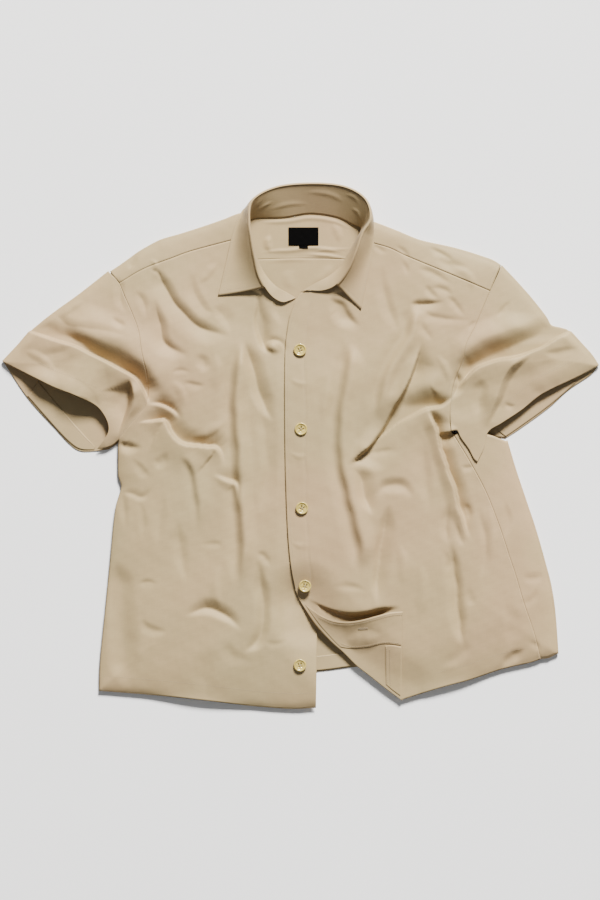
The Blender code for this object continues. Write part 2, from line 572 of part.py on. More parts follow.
def yoke(home, look):
    """The yoke lies under the collar and comes over both shoulders to the front seams."""
    shoulder_right = [(111, 273), (122, 265.5), (140, 252.5), (160, 241.5), (180, 235.5), (205, 227.5),
                      (225, 220.5), (238, 215.5), (248, 214.5)]
    neck = [(248, 214.5), (266.5, 217.3), (287, 215.7), (309, 212), (322, 213), (337, 215.7), (350, 221.5),
            (364, 222.3)]
    shoulder_left = [(364, 222.3), (372, 223), (395, 231.5), (420, 241.5), (455, 249.5), (490, 260.5),
                     (499, 267)]
    runs = [edge_of(shoulder_right), edge_of(neck), edge_of(shoulder_left)]
    shares = [np.linspace(0, 1, count) for count in (12, 9, 12)]
    rim = np.vstack([run(share) for run, share in zip(runs, shares)])
    rim = np.delete(rim, (12, 21), axis=0)
    seam = edge_of(moved(YOKE_SEAM, 0, -GAP - 0.1))
    along = np.linspace(0, 1, len(rim))[:, None]
    middle = (rim + seam(along[:, 0])) / 2
    middle[0], middle[-1] = (rim[0] + (1.5, 4)), (rim[-1] + (-2.5, 8))
    flat = raised(np.array([seam(along[:, 0]), middle, rim]), FLAT_Z)
    patches = [flat]
    shoulders = ((0, 12, RIGHT_SHOULDER_SEAM), (len(rim) - 12, len(rim), LEFT_SHOULDER_SEAM))
    for start, end, front_seam in shoulders:
        edge = rim[start:end]
        front_edge = edge_of(moved(front_seam, 0, -GAP - 0.1))(np.linspace(0, 1, end - start))
        share = np.linspace(0, 1, 4)[:, None, None]
        strip = edge[None] * (1 - share) + front_edge[None] * share
        over = raised(strip, top_layer(strip[..., 0], strip[..., 1]))
        patches += [turn(flat[-1, start:end], over[0], -outward(flat[-1, start:end])), over]
    return cloth("yoke", patches, CLOTH, look, home)


def sleeve(name, armholes, outline, unders, hems, look, home, lift):
    """A sleeve folded along its top: the front layer over the back layer, open at both ends."""
    def layer(k, columns):
        return coons(edge_of(armholes[k]), edge_of(hems[k]), edge_of(outline), edge_of(unders[k]),
                     np.linspace(0, 1, columns), np.linspace(0, 1, 15))

    front, rear = layer(0, 17), layer(1, 6)
    x, y = front[..., 0], front[..., 1]
    over = raised(front, top_layer(x, y) + lift(x, y))
    flat = raised(rear, FLAT_Z)
    sign = 1 if outline[-1][0] > outline[0][0] else -1
    roll = turn(flat[:, 0], over[:, 0], -sign * outward(flat[:, 0]))
    return cloth(name, [over, roll, flat], CLOTH, look, home)


def sleeves(home, look):
    """Both sleeves; the left one's lower point lies over the body."""
    def mouth(x, y):
        return ridge_height(x, y, ([(20, 372), (62, 392), (100, 424)], 9.0, 30, 30, 0))

    def tip(x, y):
        return 2.6 * smoothstep((y - 405) / 20)

    side = GAP + 0.1
    front = moved(RIGHT_ARMHOLE, -side, 0)
    rear = [front[0]] + moved(RIGHT_BACK_ARMHOLE, -side - 0.4, -0.5)[1:-1] + [(116.5, 444)]
    outline = [front[0], (80, 295), (55, 313), (33, 330), (20, 344), (3, 362)]
    unders = ([front[-1], (112, 445), (104, 448), (97, 449)],
              [rear[-1], (112, 447), (107, 449.5), (96, 451)])
    hems = ([(3, 362), (33.5, 377), (54, 387), (75, 395), (94, 404), (103, 413), (108.5, 425), (107, 435),
             (97, 449)], RIGHT_SLEEVE_HEM)
    sleeve("right_sleeve", (front, rear), outline, unders, hems, look, home, mouth)

    front = moved(LEFT_ARMHOLE, side, 0)
    rear = [front[0]] + moved(LEFT_BACK_ARMHOLE, side, 0)[1:-1] + [(455.5, 426)]
    outline = [front[0], (515, 281), (530, 298), (545, 317), (551, 326), (562, 329), (570, 333),
               (590, 354), (598, 366)]
    unders = ([front[-1], (457, 431), (461, 438.5), (468.5, 449), (473.5, 458.5), (477, 462)],
              [rear[-1], (470, 433), (487, 436), (506, 438)])
    hems = ([(598, 366), (579, 376), (543, 393), (522, 409), (502, 422), (488, 431), (484, 446),
             (477, 461)], LEFT_SLEEVE_HEM)
    sleeve("left_sleeve", (front, rear), outline, unders, hems, look, home, tip)


# Collar: a band that leans outwards round the neck, and a leaf folded down over it.

def band_lines():
    """Base and top of the collar band, as smooth rows of points in mm."""
    rows = smooth_run(BAND, 3)
    x, y, on_front = rows[:, 0], rows[:, 1], np.clip(rows[:, 2], 0, 1)
    fold = raised(rows[:, 3:5], rows[:, 5])
    above = CLOTH / 2 + SEAM + COLLAR_WALL / 2
    low = FLAT_Z + above
    high = top_layer(x, y) - lapped(x, y) * (x < 298) + above
    return raised(rows[:, 0:2], low + (high - low) * on_front + 0.4), fold


def collar_band(home, look):
    """The band stands on the neck edge and leans outwards all round."""
    base, top = band_lines()
    share = np.linspace(0, 1, 5)[:, None, None]
    return cloth("collar_band", [base[None] * (1 - share) + top[None] * share], COLLAR_WALL, look, home)


def leaf_line(start, outer, share, bulge, on_shoulder):
    """A line along the leaf: it drops quickly from the band, then lies just clear of the fronts."""
    line = start * (1 - share) + outer * share + bulge * math.sin(math.pi * share**0.7)
    line[:, 2] = outer[:, 2] + (start[:, 2] - outer[:, 2]) * (1 - share)**3
    x, y = line[:, 0] / CHART + CHART_X, CHART_Y - line[:, 1] / CHART
    rest = top_layer(x, y) + CLOTH / 2 + SEAM + COLLAR_WALL / 2 + 0.2
    line[:, 2] = np.where(on_shoulder, np.maximum(line[:, 2], rest), line[:, 2])
    return line


def collar_leaf(home, look):
    """The leaf starts just over the band's top edge, rolls outwards and lies down."""
    top = band_lines()[1]
    table = np.array(LEAF, float)
    rows = smooth_run(table[:, 0:5], 3)
    at = rows[:, 0] * 3
    fold = np.stack([np.interp(at, np.arange(len(top)), top[:, k]) for k in range(3)], axis=1)
    rest = top_layer(rows[:, 1], rows[:, 2]) + CLOTH / 2 + SEAM + COLLAR_WALL / 2 + 0.2
    on_shoulder = rows[:, 2] > 212
    outer = raised(rows[:, 1:3], np.where(on_shoulder, np.maximum(rows[:, 3], rest), rows[:, 3]))
    bulge = rows[:, 4][:, None]
    away = np.gradient(fold[:, :2], axis=0)
    away = np.stack([away[:, 1], -away[:, 0]], axis=1)
    away /= np.linalg.norm(away, axis=1)[:, None]
    away = np.column_stack([-away, np.zeros(len(away))])
    over, side = SEAM + COLLAR_WALL, COLLAR_WALL + 0.9
    roll = ((0, over), (0.6 * side, 0.7 * over), (side, -0.4))
    grid = [fold + away * out + (0, 0, up) for out, up in roll]
    start = grid[-1]
    for share in (0.14, 0.3, 0.5, 0.72, 0.88, 1):
        grid.append(leaf_line(start, outer, share, away * bulge, on_shoulder))
    return cloth("collar_leaf", [np.array(grid)], COLLAR_WALL, look, home)


def button(name, place, z, look, home):
    """Four-hole button with a dished middle, turned about its axis."""
    r, t = BUTTON_RADIUS, BUTTON_THICK
    profile = [(0, 0), (r - 0.8, 0), (r, 0.9), (r, t - 0.9), (r - 0.9, t), (r - 2.2, t), (r - 3.0, t - 0.8),
               (0, t - 0.8)]
    mesh = bpy.data.meshes.new(name)
    bm = bmesh.new()
    verts = [bm.verts.new((a / 1000, 0, b / 1000)) for a, b in reversed(profile)]
    for a, b in zip(verts, verts[1:]):
        bm.edges.new((a, b))
    bm.to_mesh(mesh)
    bm.free()
    mesh.materials.append(look)
    made = bpy.data.objects.new(name, mesh)
    home.objects.link(made)
    x, y = plan(place)
    made.location = (x / 1000, y / 1000, z / 1000)
    screw = made.modifiers.new("turn", "SCREW")
    screw.steps = screw.render_steps = 18
    screw.use_merge_vertices = True
    screw.merge_threshold = 1e-5
    return made


def buttons(home, look):
    for i, place in enumerate(BUTTONS, 1):
        x, y = place
        ring = [top_layer(np.array(x + BUTTON_RADIUS * c / CHART), np.array(y + BUTTON_RADIUS * s / CHART))
                for c in (-1, -0.5, 0, 0.5, 1) for s in (-1, -0.5, 0, 0.5, 1) if c * c + s * s <= 1.1]
        button(f"button_{i}", place, float(max(ring)) + CLOTH / 2 + SEAM, look, home)


def label(home, look):
    """Plain woven label sewn inside the yoke, and the size tab under it."""
    width, height = LABEL_SIZE
    base = FLAT_Z + CLOTH / 2 + SEAM + LABEL_WALL / 2
    cx, cy = plan((303.5, 236))
    below = -(height + 4.6) / 2 - SEAM
    for name, w, h, dy in (("label", width, height, 0.0), ("size_tab", 13.5, 4.6, below)):
        xs, ys = np.linspace(-w / 2, w / 2, 5), np.linspace(-h / 2, h / 2, 3)
        grid = np.array([[(cx + a, cy + dy + b, base) for a in xs] for b in ys])
        cloth(name, [grid], LABEL_WALL, look, home)


def on_panel(name, edges, height, shape, clear, look, home, wall=CLOTH):
    """A band of cloth that lies on a panel and is made from the panel's own height."""
    bottom, top, left, right = edges
    grid = coons(bottom, top, left, right, np.linspace(0, 1, shape[0]), np.linspace(0, 1, shape[1]))
    z = height(grid[..., 0], grid[..., 1]) + CLOTH / 2 + clear + wall / 2
    return cloth(name, [raised(grid, z)], wall, look, home)


def strips(home, look):
    """Hems and the front facing, each lying on its own panel."""
    def flat(x, y):
        return np.full(x.shape, FLAT_Z)

    facing = (edge_of([(339, 645.5), (352, 648.5), (368, 647), (384, 643.5), (401, 645)]),
              edge_of([(309, 607)], [(318, 614.8), (331, 620.8), (346, 622.8), (361, 620.8), (376, 616.8),
                                     (390, 613.3), (401.3, 612.3)]),
              edge_of([(339, 645.5), (325, 630), (309, 607)]), edge_of([(401, 645), (401.3, 612.3)]))
    on_panel("left_facing", facing, flap_height, (17, 9), 0.8, look, home)
    turned = (edge_of([(386, 684.5), (393, 690.5), (400.5, 696)]),
              edge_of([(385, 645.5), (392, 645), (401, 646.6)]),
              edge_of([(386, 684.5), (385.3, 665), (385, 645.5)]),
              edge_of([(400.5, 696), (400.5, 680), (401, 646.6)]))
    on_panel("left_hem_turn", turned, flap_height, (5, 8), 0.75, look, home)
    hem = moved(BACK_HEM, 0, -1.0)
    inner = moved(BACK_HEM, 0, -15.5)
    hem[0], hem[-1], inner[0], inner[-1] = (103, 687.5), (549, 654), (104, 673.5), (547, 640)
    on_panel("back_hem", (edge_of(hem), edge_of(inner), edge_of([hem[0], inner[0]]),
                          edge_of([hem[-1], inner[-1]])), flat, (17, 2), SEAM, look, home)
    outer = [(27, 396), (54, 426.5), (69, 442), (80, 449), (94, 449.5)]
    inner = [(38, 381), (46, 391), (67, 416), (83, 434), (95, 447)]
    on_panel("right_sleeve_hem", (edge_of(outer), edge_of(inner), edge_of([outer[0], inner[0]]),
                                  edge_of([outer[-1], inner[-1]])), flat, (9, 2), SEAM, look, home)
    outer = [(576, 383), (549, 406), (520, 427), (506, 436.5)]
    inner = [(560, 372), (536, 392), (511, 413), (494, 427)]
    on_panel("left_sleeve_hem", (edge_of(outer), edge_of(inner), edge_of([outer[0], inner[0]]),
                                 edge_of([outer[-1], inner[-1]])), flat, (9, 2), SEAM, look, home)


def main():
    for old in list(bpy.data.objects):
        bpy.data.objects.remove(old)
    home = bpy.data.collections.new("shirt")
    bpy.context.scene.collection.children.link(home)
    shirting = material("shirting", (0.56, 0.46, 0.33), 0.8)
    horn = material("button", (0.72, 0.62, 0.3), 0.35)
    black = material("label", (0.02, 0.018, 0.016), 0.6)
    back(home, shirting)
    yoke(home, shirting)
    right_front(home, shirting)
    left_front(home, shirting)
    sleeves(home, shirting)
    collar_band(home, shirting)
    collar_leaf(home, shirting)
    strips(home, shirting)
    buttons(home, horn)
    label(home, black)


main()
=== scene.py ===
"""Looks of the shirt: fine cloth on the solids' form, stitches, buttons, label, light and camera."""
import math

import bmesh
import bpy
import numpy as np
from mathutils import Matrix, Vector


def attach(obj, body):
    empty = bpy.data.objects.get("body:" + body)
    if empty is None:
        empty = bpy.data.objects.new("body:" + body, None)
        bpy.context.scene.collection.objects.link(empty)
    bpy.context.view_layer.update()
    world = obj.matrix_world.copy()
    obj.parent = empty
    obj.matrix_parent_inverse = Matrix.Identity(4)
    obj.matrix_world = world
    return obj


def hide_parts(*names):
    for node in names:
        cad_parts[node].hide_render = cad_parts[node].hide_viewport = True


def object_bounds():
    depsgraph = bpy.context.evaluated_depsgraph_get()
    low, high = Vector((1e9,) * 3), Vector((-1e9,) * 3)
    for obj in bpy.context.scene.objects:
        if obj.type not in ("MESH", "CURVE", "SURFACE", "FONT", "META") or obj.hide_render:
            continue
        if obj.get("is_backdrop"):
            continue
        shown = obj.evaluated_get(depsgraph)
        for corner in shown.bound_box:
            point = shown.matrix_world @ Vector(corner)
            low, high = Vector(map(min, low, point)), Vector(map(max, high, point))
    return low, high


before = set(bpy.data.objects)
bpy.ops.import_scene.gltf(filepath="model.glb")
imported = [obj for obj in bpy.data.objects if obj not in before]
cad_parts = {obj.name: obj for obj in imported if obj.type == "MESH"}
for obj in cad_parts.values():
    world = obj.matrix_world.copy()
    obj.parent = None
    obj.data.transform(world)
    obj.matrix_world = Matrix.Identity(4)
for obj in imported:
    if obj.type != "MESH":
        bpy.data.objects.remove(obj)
bounds_of_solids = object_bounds()

# Driving dimensions, in millimetres; places are on a chart of 1.5 mm squares, y down
CHART = 1.5
CHART_X = 300.5       # the row frame's origin on the chart
CHART_Y = 447.5
CLOTH = 1.2           # wall of the solids
SHELL = 0.7           # wall shown
SEAM = 0.3            # between sewn pieces
FLAT_Z = CLOTH / 2    # middle of cloth that lies on the table
EDGE_Z = 4.4          # middle of the top layer along its outline
ROLLED = 7.5          # height that its rolled edge reaches over ROLL_RUN
ROLL_RUN = 5.0
LOFT = 11.5           # height that it reaches inland over LOFT_RUN
SWELL = 8.0           # more of it away from the neck
LOFT_RUN = 58.0
SETTLED = 5.2         # middle of the fronts along the folded-back corner
SETTLE_RUN = 34.0     # half the distance over which they come down to it
LOWEST_EDGE = 3.9     # the top layer's valleys stay above this at the outline
LOWEST_INSIDE = 5.6   # and above this inland
HOLLOW_Z = 8.3        # and above this over the hollows
SOFT = 0.9            # rounding of the step down to the lowest height
INLAND = 12.0         # folds reach their full height this far from the outline
FADE = 42.0           # length over which a fold dies away
HEM_OPEN = 5.0        # rise of the hem at each of its openings
HEM_OPENINGS = (200, 446)
HEM_MOUTH = 62        # half the width of an opening, on the chart
NECK_AT = (303, 250)
HOLLOWS = [(180, 220, 330, 705), (430, 462, 556, 690), (30, 80, 345, 410), (514, 570, 345, 415)]
COLLAR_WALL = 1.4     # wall of the collar's solids
COLLAR_SHELL = 1.2    # wall shown
BAND_CLEAR = 1.2      # middle of the band's lower edge above the middle of the cloth it is sewn to
LEAF_CLEAR = 1.2      # middle of the leaf above the middle of the front it lies on
BAND_STEPS = 14       # columns of the collar between two rows of its tables
BUTTON_RADIUS = 9.5
BUTTON_THICK = 3.0
BUTTON_TURN = 0.35    # each button is turned this much further than the one above it, in radians
LAP = 3.4             # how far the button edge lies under the other front
FLAP_GAP = 2.4        # turned-back corner above the front
LABEL_AT = (303.5, 236)
LABEL_SIZE = (45.0, 27.0)
TAB_SIZE = (13.5, 4.6)
LABEL_WALL = 0.45
STITCH = 2.3          # length of one stitch
STITCH_STEP = 3.1     # from one stitch to the next
THREAD = 0.42         # thickness of the sewing thread
THREAD_RISE = THREAD * 0.12   # middle of a stitch above the face of the cloth
FACING_DROP = 0.72    # pieces sewn on the corner lie this much nearer than a full wall, so they touch it
HEM_TURN_DROP = 0.66
HEM_DROP = 0.2
GAP = 0.04 / 2 / CHART        # half the slit along a seam, on the chart

OUTLINE = [
    (2, 362), (20, 343), (33, 329), (55, 312), (80, 294), (109, 272), (122, 264), (140, 251),
    (160, 240), (180, 234), (205, 226), (225, 219), (237, 213), (252, 206), (285, 200), (335, 200),
    (364, 210), (373, 221), (395, 230), (420, 240), (455, 248), (490, 259), (501, 266), (515, 280),
    (530, 297), (545, 316), (551, 325), (562, 328), (570, 332), (590, 353), (599, 366), (560, 394),
    (530, 418), (507, 440), (515, 470), (525, 500), (535, 530), (545, 565), (551, 590), (555, 620),
    (558, 655), (530, 663), (500, 670), (470, 680), (440, 688), (402, 700), (317, 708), (290, 709),
    (250, 706), (200, 700), (150, 695), (99, 691), (100, 660), (105, 610), (110, 560), (115, 510),
    (121, 487), (118, 475), (117, 444), (107, 450), (82, 451), (70, 443), (50, 422), (25, 393),
]

# Rounded folds, and valleys where the rise is below zero: the line on the chart, then millimetres.
# Walking along the line on the chart, left and right are the reach of the flanks on either hand;
# crisp runs from a soft bottom or crest (0) to a creased one (1).
# Columns: path, rise, left, right, crisp.
RIDGES = [
    # right sleeve
    ([(170, 398), (152, 366), (124, 343), (92, 329), (60, 321)], 7, 32, 40, 0),
    ([(54, 313), (67, 325), (90, 328), (134, 337)], -2.5, 14, 16, 0.5),
    ([(38, 354), (58, 353), (74, 346)], -1.5, 12, 13, 0.3),
    ([(128, 377), (129, 392), (126, 408), (117, 438)], -14, 9, 45, 0.6),
    ([(131, 378), (135, 391), (134, 406), (125, 424)], 5.5, 15, 10, 0.2),
    ([(52, 372), (80, 385), (104, 402)], 8.5, 45, 36, 0),
    # right front, chest
    ([(157, 266), (165, 286), (178, 307), (200, 327), (232, 338)], -7, 15, 30, 0.7),
    ([(154, 298), (159, 322), (166, 344), (192, 358)], -6.5, 14, 24, 0.7),
    ([(196, 356), (204, 363), (203, 374)], -2.5, 12, 17, 0.2),
    ([(192, 272), (194, 290), (203, 308), (217, 315)], -2.5, 12, 17, 0.3),
    ([(214, 306), (224, 316), (233, 334)], -2, 18, 13, 0.3),
    ([(182, 383), (194, 385), (207, 386)], -2, 6, 12, 0.6),
    ([(138, 253), (133, 262), (129, 271)], -2, 8, 10, 0.6),
    ([(113, 275), (119, 285), (121, 300), (127, 316)], -2, 10, 12, 0.5),
    ([(136, 291), (143, 302), (147, 320)], -2, 10, 12, 0.5),
    ([(112, 317), (119, 323), (128, 326)], -2, 8, 10, 0.5),
    ([(243, 340), (249, 358), (257, 385), (264, 404), (275, 422)], -8.5, 22, 14, 0.6),
    ([(262, 400), (265, 440), (268, 475), (259, 512)], -3, 26, 13, 0.3),
    ([(258, 290), (259, 320), (262, 342), (271, 356)], -10, 22, 9, 0.7),
    ([(266, 352), (272, 347), (281, 353)], 5.5, 9, 14, 0),
    ([(286, 292), (277, 306), (284, 330)], -2.5, 18, 10, 0.3),
    # right front, waist and hem
    ([(121, 441), (125, 447), (144, 448)], -5.5, 12, 14, 0.6),
    ([(152, 460), (162, 462), (168, 452)], -2, 12, 12, 0.2),
    ([(118, 492), (132, 493), (143, 496), (154, 484)], -2.5, 13, 9, 0.7),
    ([(123, 488), (124, 505), (125, 528)], -2, 9, 14, 0.4),
    ([(163, 490), (160, 520), (159, 552)], -2, 13, 16, 0.3),
    ([(178, 520), (181, 548), (186, 585)], -2.5, 14, 16, 0.3),
    ([(183, 617), (205, 609), (225, 615), (243, 630)], -7, 20, 12, 0.7),
    ([(257, 556), (262, 590), (263, 620), (257, 640), (244, 653)], -6.5, 15, 15, 0.3),
    ([(256, 552), (264, 556), (272, 568)], -2, 8, 12, 0.5),
    ([(142, 618), (150, 629), (170, 632)], -2, 10, 13, 0.2),
    ([(138, 583), (148, 582), (158, 584)], -1.5, 6, 12, 0.5),
    ([(117, 560), (120, 620), (127, 690)], -5.5, 30, 27, 0),
    ([(229, 640), (231, 655), (256, 664)], -1.5, 12, 16, 0.1),
    ([(216, 648), (206, 670), (204, 700)], -1.5, 16, 26, 0),
    # left front, chest
    ([(388, 408), (420, 388), (446, 374)], 5, 34, 30, 0),
    ([(327, 298), (340, 307), (346, 317), (361, 328)], -7.5, 12, 24, 0.6),
    ([(380, 262), (384, 292), (391, 312), (400, 335)], -2.5, 12, 17, 0.4),
    ([(410, 303), (422, 305), (446, 302)], -5.5, 10, 18, 0.8),
    ([(420, 312), (422, 326), (433, 342)], -2, 9, 12, 0.6),
    ([(424, 311), (434, 318), (472, 321)], -2, 9, 12, 0.6),
    ([(428, 245), (441, 252), (456, 262)], -2.5, 6, 12, 0.8),
    ([(434, 257), (450, 264), (470, 268)], -2, 10, 12, 0.3),
    ([(416, 268), (432, 273), (455, 286)], -2, 8, 12, 0.5),
    ([(430, 288), (443, 290), (453, 297)], -2, 8, 12, 0.6),
    ([(445, 296), (455, 305), (464, 318)], -2, 8, 10, 0.6),
    ([(424, 284), (431, 293), (439, 301)], -2, 8, 10, 0.4),
    ([(457, 368), (458, 384), (451, 400)], -7, 12, 12, 0.6),
    ([(468, 331), (471, 325), (476, 321)], -1, 5, 6, 0.6),
    # left front, waist and hem
    ([(352, 466), (361, 479), (366, 500), (374, 516)], -6.5, 24, 14, 0.5),
    ([(375, 500), (386, 487), (402, 486), (415, 498)], -4, 14, 16, 0.3),
    ([(421, 432), (424, 470), (430, 512)], -2.5, 13, 20, 0.1),
    ([(390, 503), (382, 535), (378, 570), (377, 606)], -7, 22, 12, 0.5),
    ([(450, 500), (446, 518), (446, 532), (451, 548)], -3, 9, 12, 0.6),
    ([(451, 542), (454, 575), (458, 610), (464, 650)], -7.5, 14, 18, 0.7),
    ([(476, 505), (484, 532), (485, 556), (477, 584)], -2.5, 12, 9, 0.6),
    ([(464, 502), (468, 512), (470, 524)], -2, 8, 8, 0.4),
    ([(454, 520), (460, 536), (465, 548)], -2, 6, 8, 0.4),
    ([(440, 548), (448, 562), (444, 574)], -1, 8, 10, 0.3),
    ([(461, 466), (468, 468), (476, 466)], -1.5, 6, 9, 0.6),
    ([(500, 669), (512, 659), (524, 648)], -5.5, 14, 14, 0.5),
    ([(520, 578), (533, 578), (547, 574)], -2, 8, 10, 0.6),
    ([(466, 585), (470, 598), (476, 606)], -1.5, 10, 12, 0.2),
    ([(470, 640), (460, 655), (434, 669)], -1.5, 12, 16, 0.2),
    ([(505, 600), (512, 625), (508, 648)], -2, 21, 16, 0),
    # left sleeve
    ([(448, 368), (474, 345), (500, 332), (545, 322)], 7, 30, 30, 0.1),
    ([(532, 353), (514, 363), (503, 379), (494, 401), (485, 427)], 9, 12, 30, 0.3),
    ([(487, 378), (480, 395), (474, 418)], -2.5, 13, 17, 0.2),
    ([(504, 402), (510, 406), (517, 405)], -1.5, 6, 9, 0.5),
    ([(528, 388), (548, 376), (576, 362)], 2.5, 34, 28, 0),
]

# Folds that tuck under: the cloth rises on the right hand of the line and dips on the left,
# over a step twice as wide as the edge.
# Columns: path, rise, dip, left, right, edge.
TUCKS = [
    ([(14, 325), (33, 333), (70, 344), (95, 357), (129, 373), (142, 386), (149, 407)], 5, 14, 30, 40, 2),
    ([(147, 403), (160, 405), (171, 410), (180, 420)], 3, 8, 22, 34, 2),
    ([(137, 424), (154, 421), (164, 420), (171, 431), (184, 443), (205, 446), (218, 448), (224, 468)],
     5, 11, 30, 50, 2),
    ([(199, 536), (197, 507), (194, 485), (189, 464), (180, 456)], 3.5, 2.5, 18, 30, 7),
    ([(212, 474), (228, 480), (237, 484), (240, 504)], 3.5, 4.5, 28, 18, 3),
    ([(240, 590), (240, 535), (238, 500), (236, 460), (234, 420), (234, 380), (239, 338)],
     8.5, 6.5, 26, 26, 11),
    ([(265, 346), (272, 342), (281, 344), (286, 357)], 2.5, 4, 12, 10, 2.5),
    ([(358, 574), (359, 548), (354, 525), (347, 498), (340, 465), (338, 440), (338, 415), (342, 390),
      (347, 362), (347, 342)], 7, 6.5, 26, 30, 11),
    ([(373, 428), (379, 400), (385, 372), (397, 350), (408, 335), (411, 318), (415, 304)],
     6.5, 4, 24, 30, 10),
    ([(422, 342), (414, 368), (404, 392), (393, 413), (378, 436), (364, 452), (349, 466)],
     6, 13, 42, 22, 2),
    ([(362, 451), (384, 433), (402, 421), (422, 411), (440, 406), (453, 397)], 4, 15, 42, 40, 2),
    ([(427, 409), (434, 423), (439, 440), (445, 460), (452, 482), (460, 512), (472, 543)],
     6, 11, 22, 20, 2),
    ([(459, 430), (448, 434), (436, 436)], 3.5, 9, 25, 18, 2.5),
    ([(456, 388), (474, 371), (486, 364), (513, 357), (536, 349), (568, 332), (590, 322)],
     6, 16, 42, 36, 2),
]

# The front sinks under the free edge of the corner that is turned back over it
UNDER_FLAP = ([(402, 607), (384, 609), (374, 611.5), (362, 614), (345, 614.5), (326, 609.5), (304, 598)],
              1.5, 15, 34, 26, 4)

# Along here the fronts lie down on the back: the folded edge of the corner and the edge beside it
SETTLE_LINE = [(303, 604), (317, 624), (344, 652), (371, 676), (402, 700)]

# The row of stitches along the inner edge of the placket
PLACKET_SEAM = [(312.5, 602), (310, 570), (308, 530), (306, 500), (305.5, 460), (305, 412), (305, 354.7),
                (306.5, 332), (309, 312), (312, 298)]

# Small unevenness that only the fine cloth has, in the columns of the first table
FINE_RIDGES = [
    (PLACKET_SEAM, -0.55, 4, 3, 0.7),
    ([(170, 380), (182, 392), (186, 410)], 1.6, 8, 12, 0),
    ([(214, 350), (218, 372), (215, 396)], 1.6, 10, 14, 0),
    ([(149, 258), (156, 264), (152, 272)], 1.5, 5, 6, 0.4),
    ([(148, 268), (158, 272), (163, 280)], -1.3, 5, 6, 0.4),
    ([(170, 373), (182, 371), (192, 373)], -1.2, 5, 7, 0.4),
    ([(218, 262), (208, 274), (200, 283)], 1.4, 8, 10, 0),
    ([(228, 420), (210, 432), (188, 438)], 1.6, 8, 12, 0),
    ([(131, 458), (142, 470), (150, 478)], -1.4, 8, 12, 0),
    ([(139, 500), (144, 520), (142, 540)], -1.2, 8, 10, 0),
    ([(220, 560), (216, 590), (222, 606)], 1.4, 9, 13, 0),
    ([(196, 545), (216, 543), (222, 548)], -0.9, 6, 9, 0.2),
    ([(262, 640), (275, 644), (288, 640)], -0.9, 6, 9, 0.2),
    ([(290, 380), (299, 384), (309, 383)], 0.8, 5, 7, 0.2),
    ([(289, 452), (300, 456), (310, 454)], 0.8, 5, 7, 0.2),
    ([(290, 540), (301, 545), (311, 543)], 0.8, 5, 7, 0.2),
    ([(372, 243), (380, 250), (388, 254)], -1.3, 6, 7, 0.4),
    ([(396, 246), (404, 252), (410, 262)], -1.4, 6, 8, 0.3),
    ([(400, 259), (406, 268), (406, 276)], -1.3, 6, 7, 0.4),
    ([(396, 540), (404, 562), (402, 590)], 1.6, 10, 13, 0),
    ([(420, 560), (424, 590), (419, 622)], 1.6, 10, 14, 0),
    ([(365, 452), (380, 452), (396, 448)], -1.4, 7, 9, 0.2),
    ([(333, 372), (325, 400), (324, 430)], 1.4, 9, 12, 0),
    ([(330, 588), (350, 586), (368, 590)], -1.2, 8, 9, 0.1),
    ([(435, 352), (446, 368), (450, 384)], 1.4, 8, 9, 0),
    ([(487, 500), (493, 530), (492, 566)], 1.6, 9, 12, 0),
    ([(505, 500), (508, 520), (503, 540)], -1.5, 8, 10, 0.2),
    ([(520, 601), (531, 600), (542, 588)], -1.4, 5, 8, 0.3),
    ([(526, 640), (536, 646), (540, 652)], -1.4, 6, 8, 0.2),
    ([(446, 262), (470, 276), (472, 292)], 1.4, 7, 10, 0),
    ([(86, 300), (72, 307), (60, 318)], 1.4, 7, 10, 0),
    ([(25, 350), (40, 356), (58, 372)], 1.4, 8, 10, 0),
    ([(70, 402), (82, 400), (92, 404)], -1.3, 6, 8, 0.2),
    ([(540, 352), (560, 352), (580, 348)], -1.6, 8, 10, 0.1),
    ([(496, 318), (504, 308), (512, 300)], -1.2, 6, 9, 0.2),
]

PIVOT = (295.5, 589.6)  # where the turned-back corner's fold leaves the front edge
BUTTONS = [(300, 350), (301, 429), (302, 508), (305, 586), (300, 665)]

# Collar band. Columns: lower edge x, y; how far that edge is up on the fronts (0 to 1);
# upper edge x, y on the chart, and its height.
BAND = [
    (296, 298, 1.0, 291, 300, 10.5),
    (287.5, 293, 1.0, 281.5, 302, 13),
    (275.5, 286, 1.0, 270, 294.5, 17.5),
    (265, 274, 1.0, 259.5, 277, 25),
    (256.5, 257, 1.0, 255, 258, 32),
    (251.5, 241, 1.0, 252, 240, 36),
    (249.5, 229, 0.7, 250, 222, 36),
    (252, 218, 0.2, 253, 202, 30),
    (284, 217, 0.0, 276, 188.8, 24),
    (310, 213, 0.0, 310, 184.9, 22),
    (336, 216.5, 0.0, 343, 187.8, 24),
    (352, 223.5, 0.2, 364, 200, 31),
    (361, 228, 0.7, 369.5, 219, 36),
    (356, 240, 1.0, 361.5, 234, 37),
    (349, 252.5, 1.0, 355, 252.5, 35),
    (340, 266.5, 1.0, 347, 271, 28),
    (329, 276, 1.0, 336, 285, 20),
    (315, 283.5, 1.0, 323, 290.5, 14.5),
    (300.5, 292, 1.0, 306, 290, 13),
]
# Collar leaf. Columns: row of the band's table it hangs from, outer edge x, y, its height, bulge.
LEAF = [
    (2.45, 218, 296, 13, 2),
    (4, 226, 262, 12, 5),
    (5, 232, 236, 11.5, 6),
    (6, 240, 214, 10, 4),
    (7, 251, 205, 4, 2),
    (8, 281, 201.5, 1.0, 1.5),
    (9, 310, 200.5, 1.0, 1.5),
    (10, 337, 201, 1.0, 1.5),
    (11, 362, 208, 3, 2),
    (12, 372, 223, 11, 3),
    (13, 374, 242, 12, 5),
    (14, 371, 262, 12.5, 4),
    (16, 361, 310, 13, 2),
]

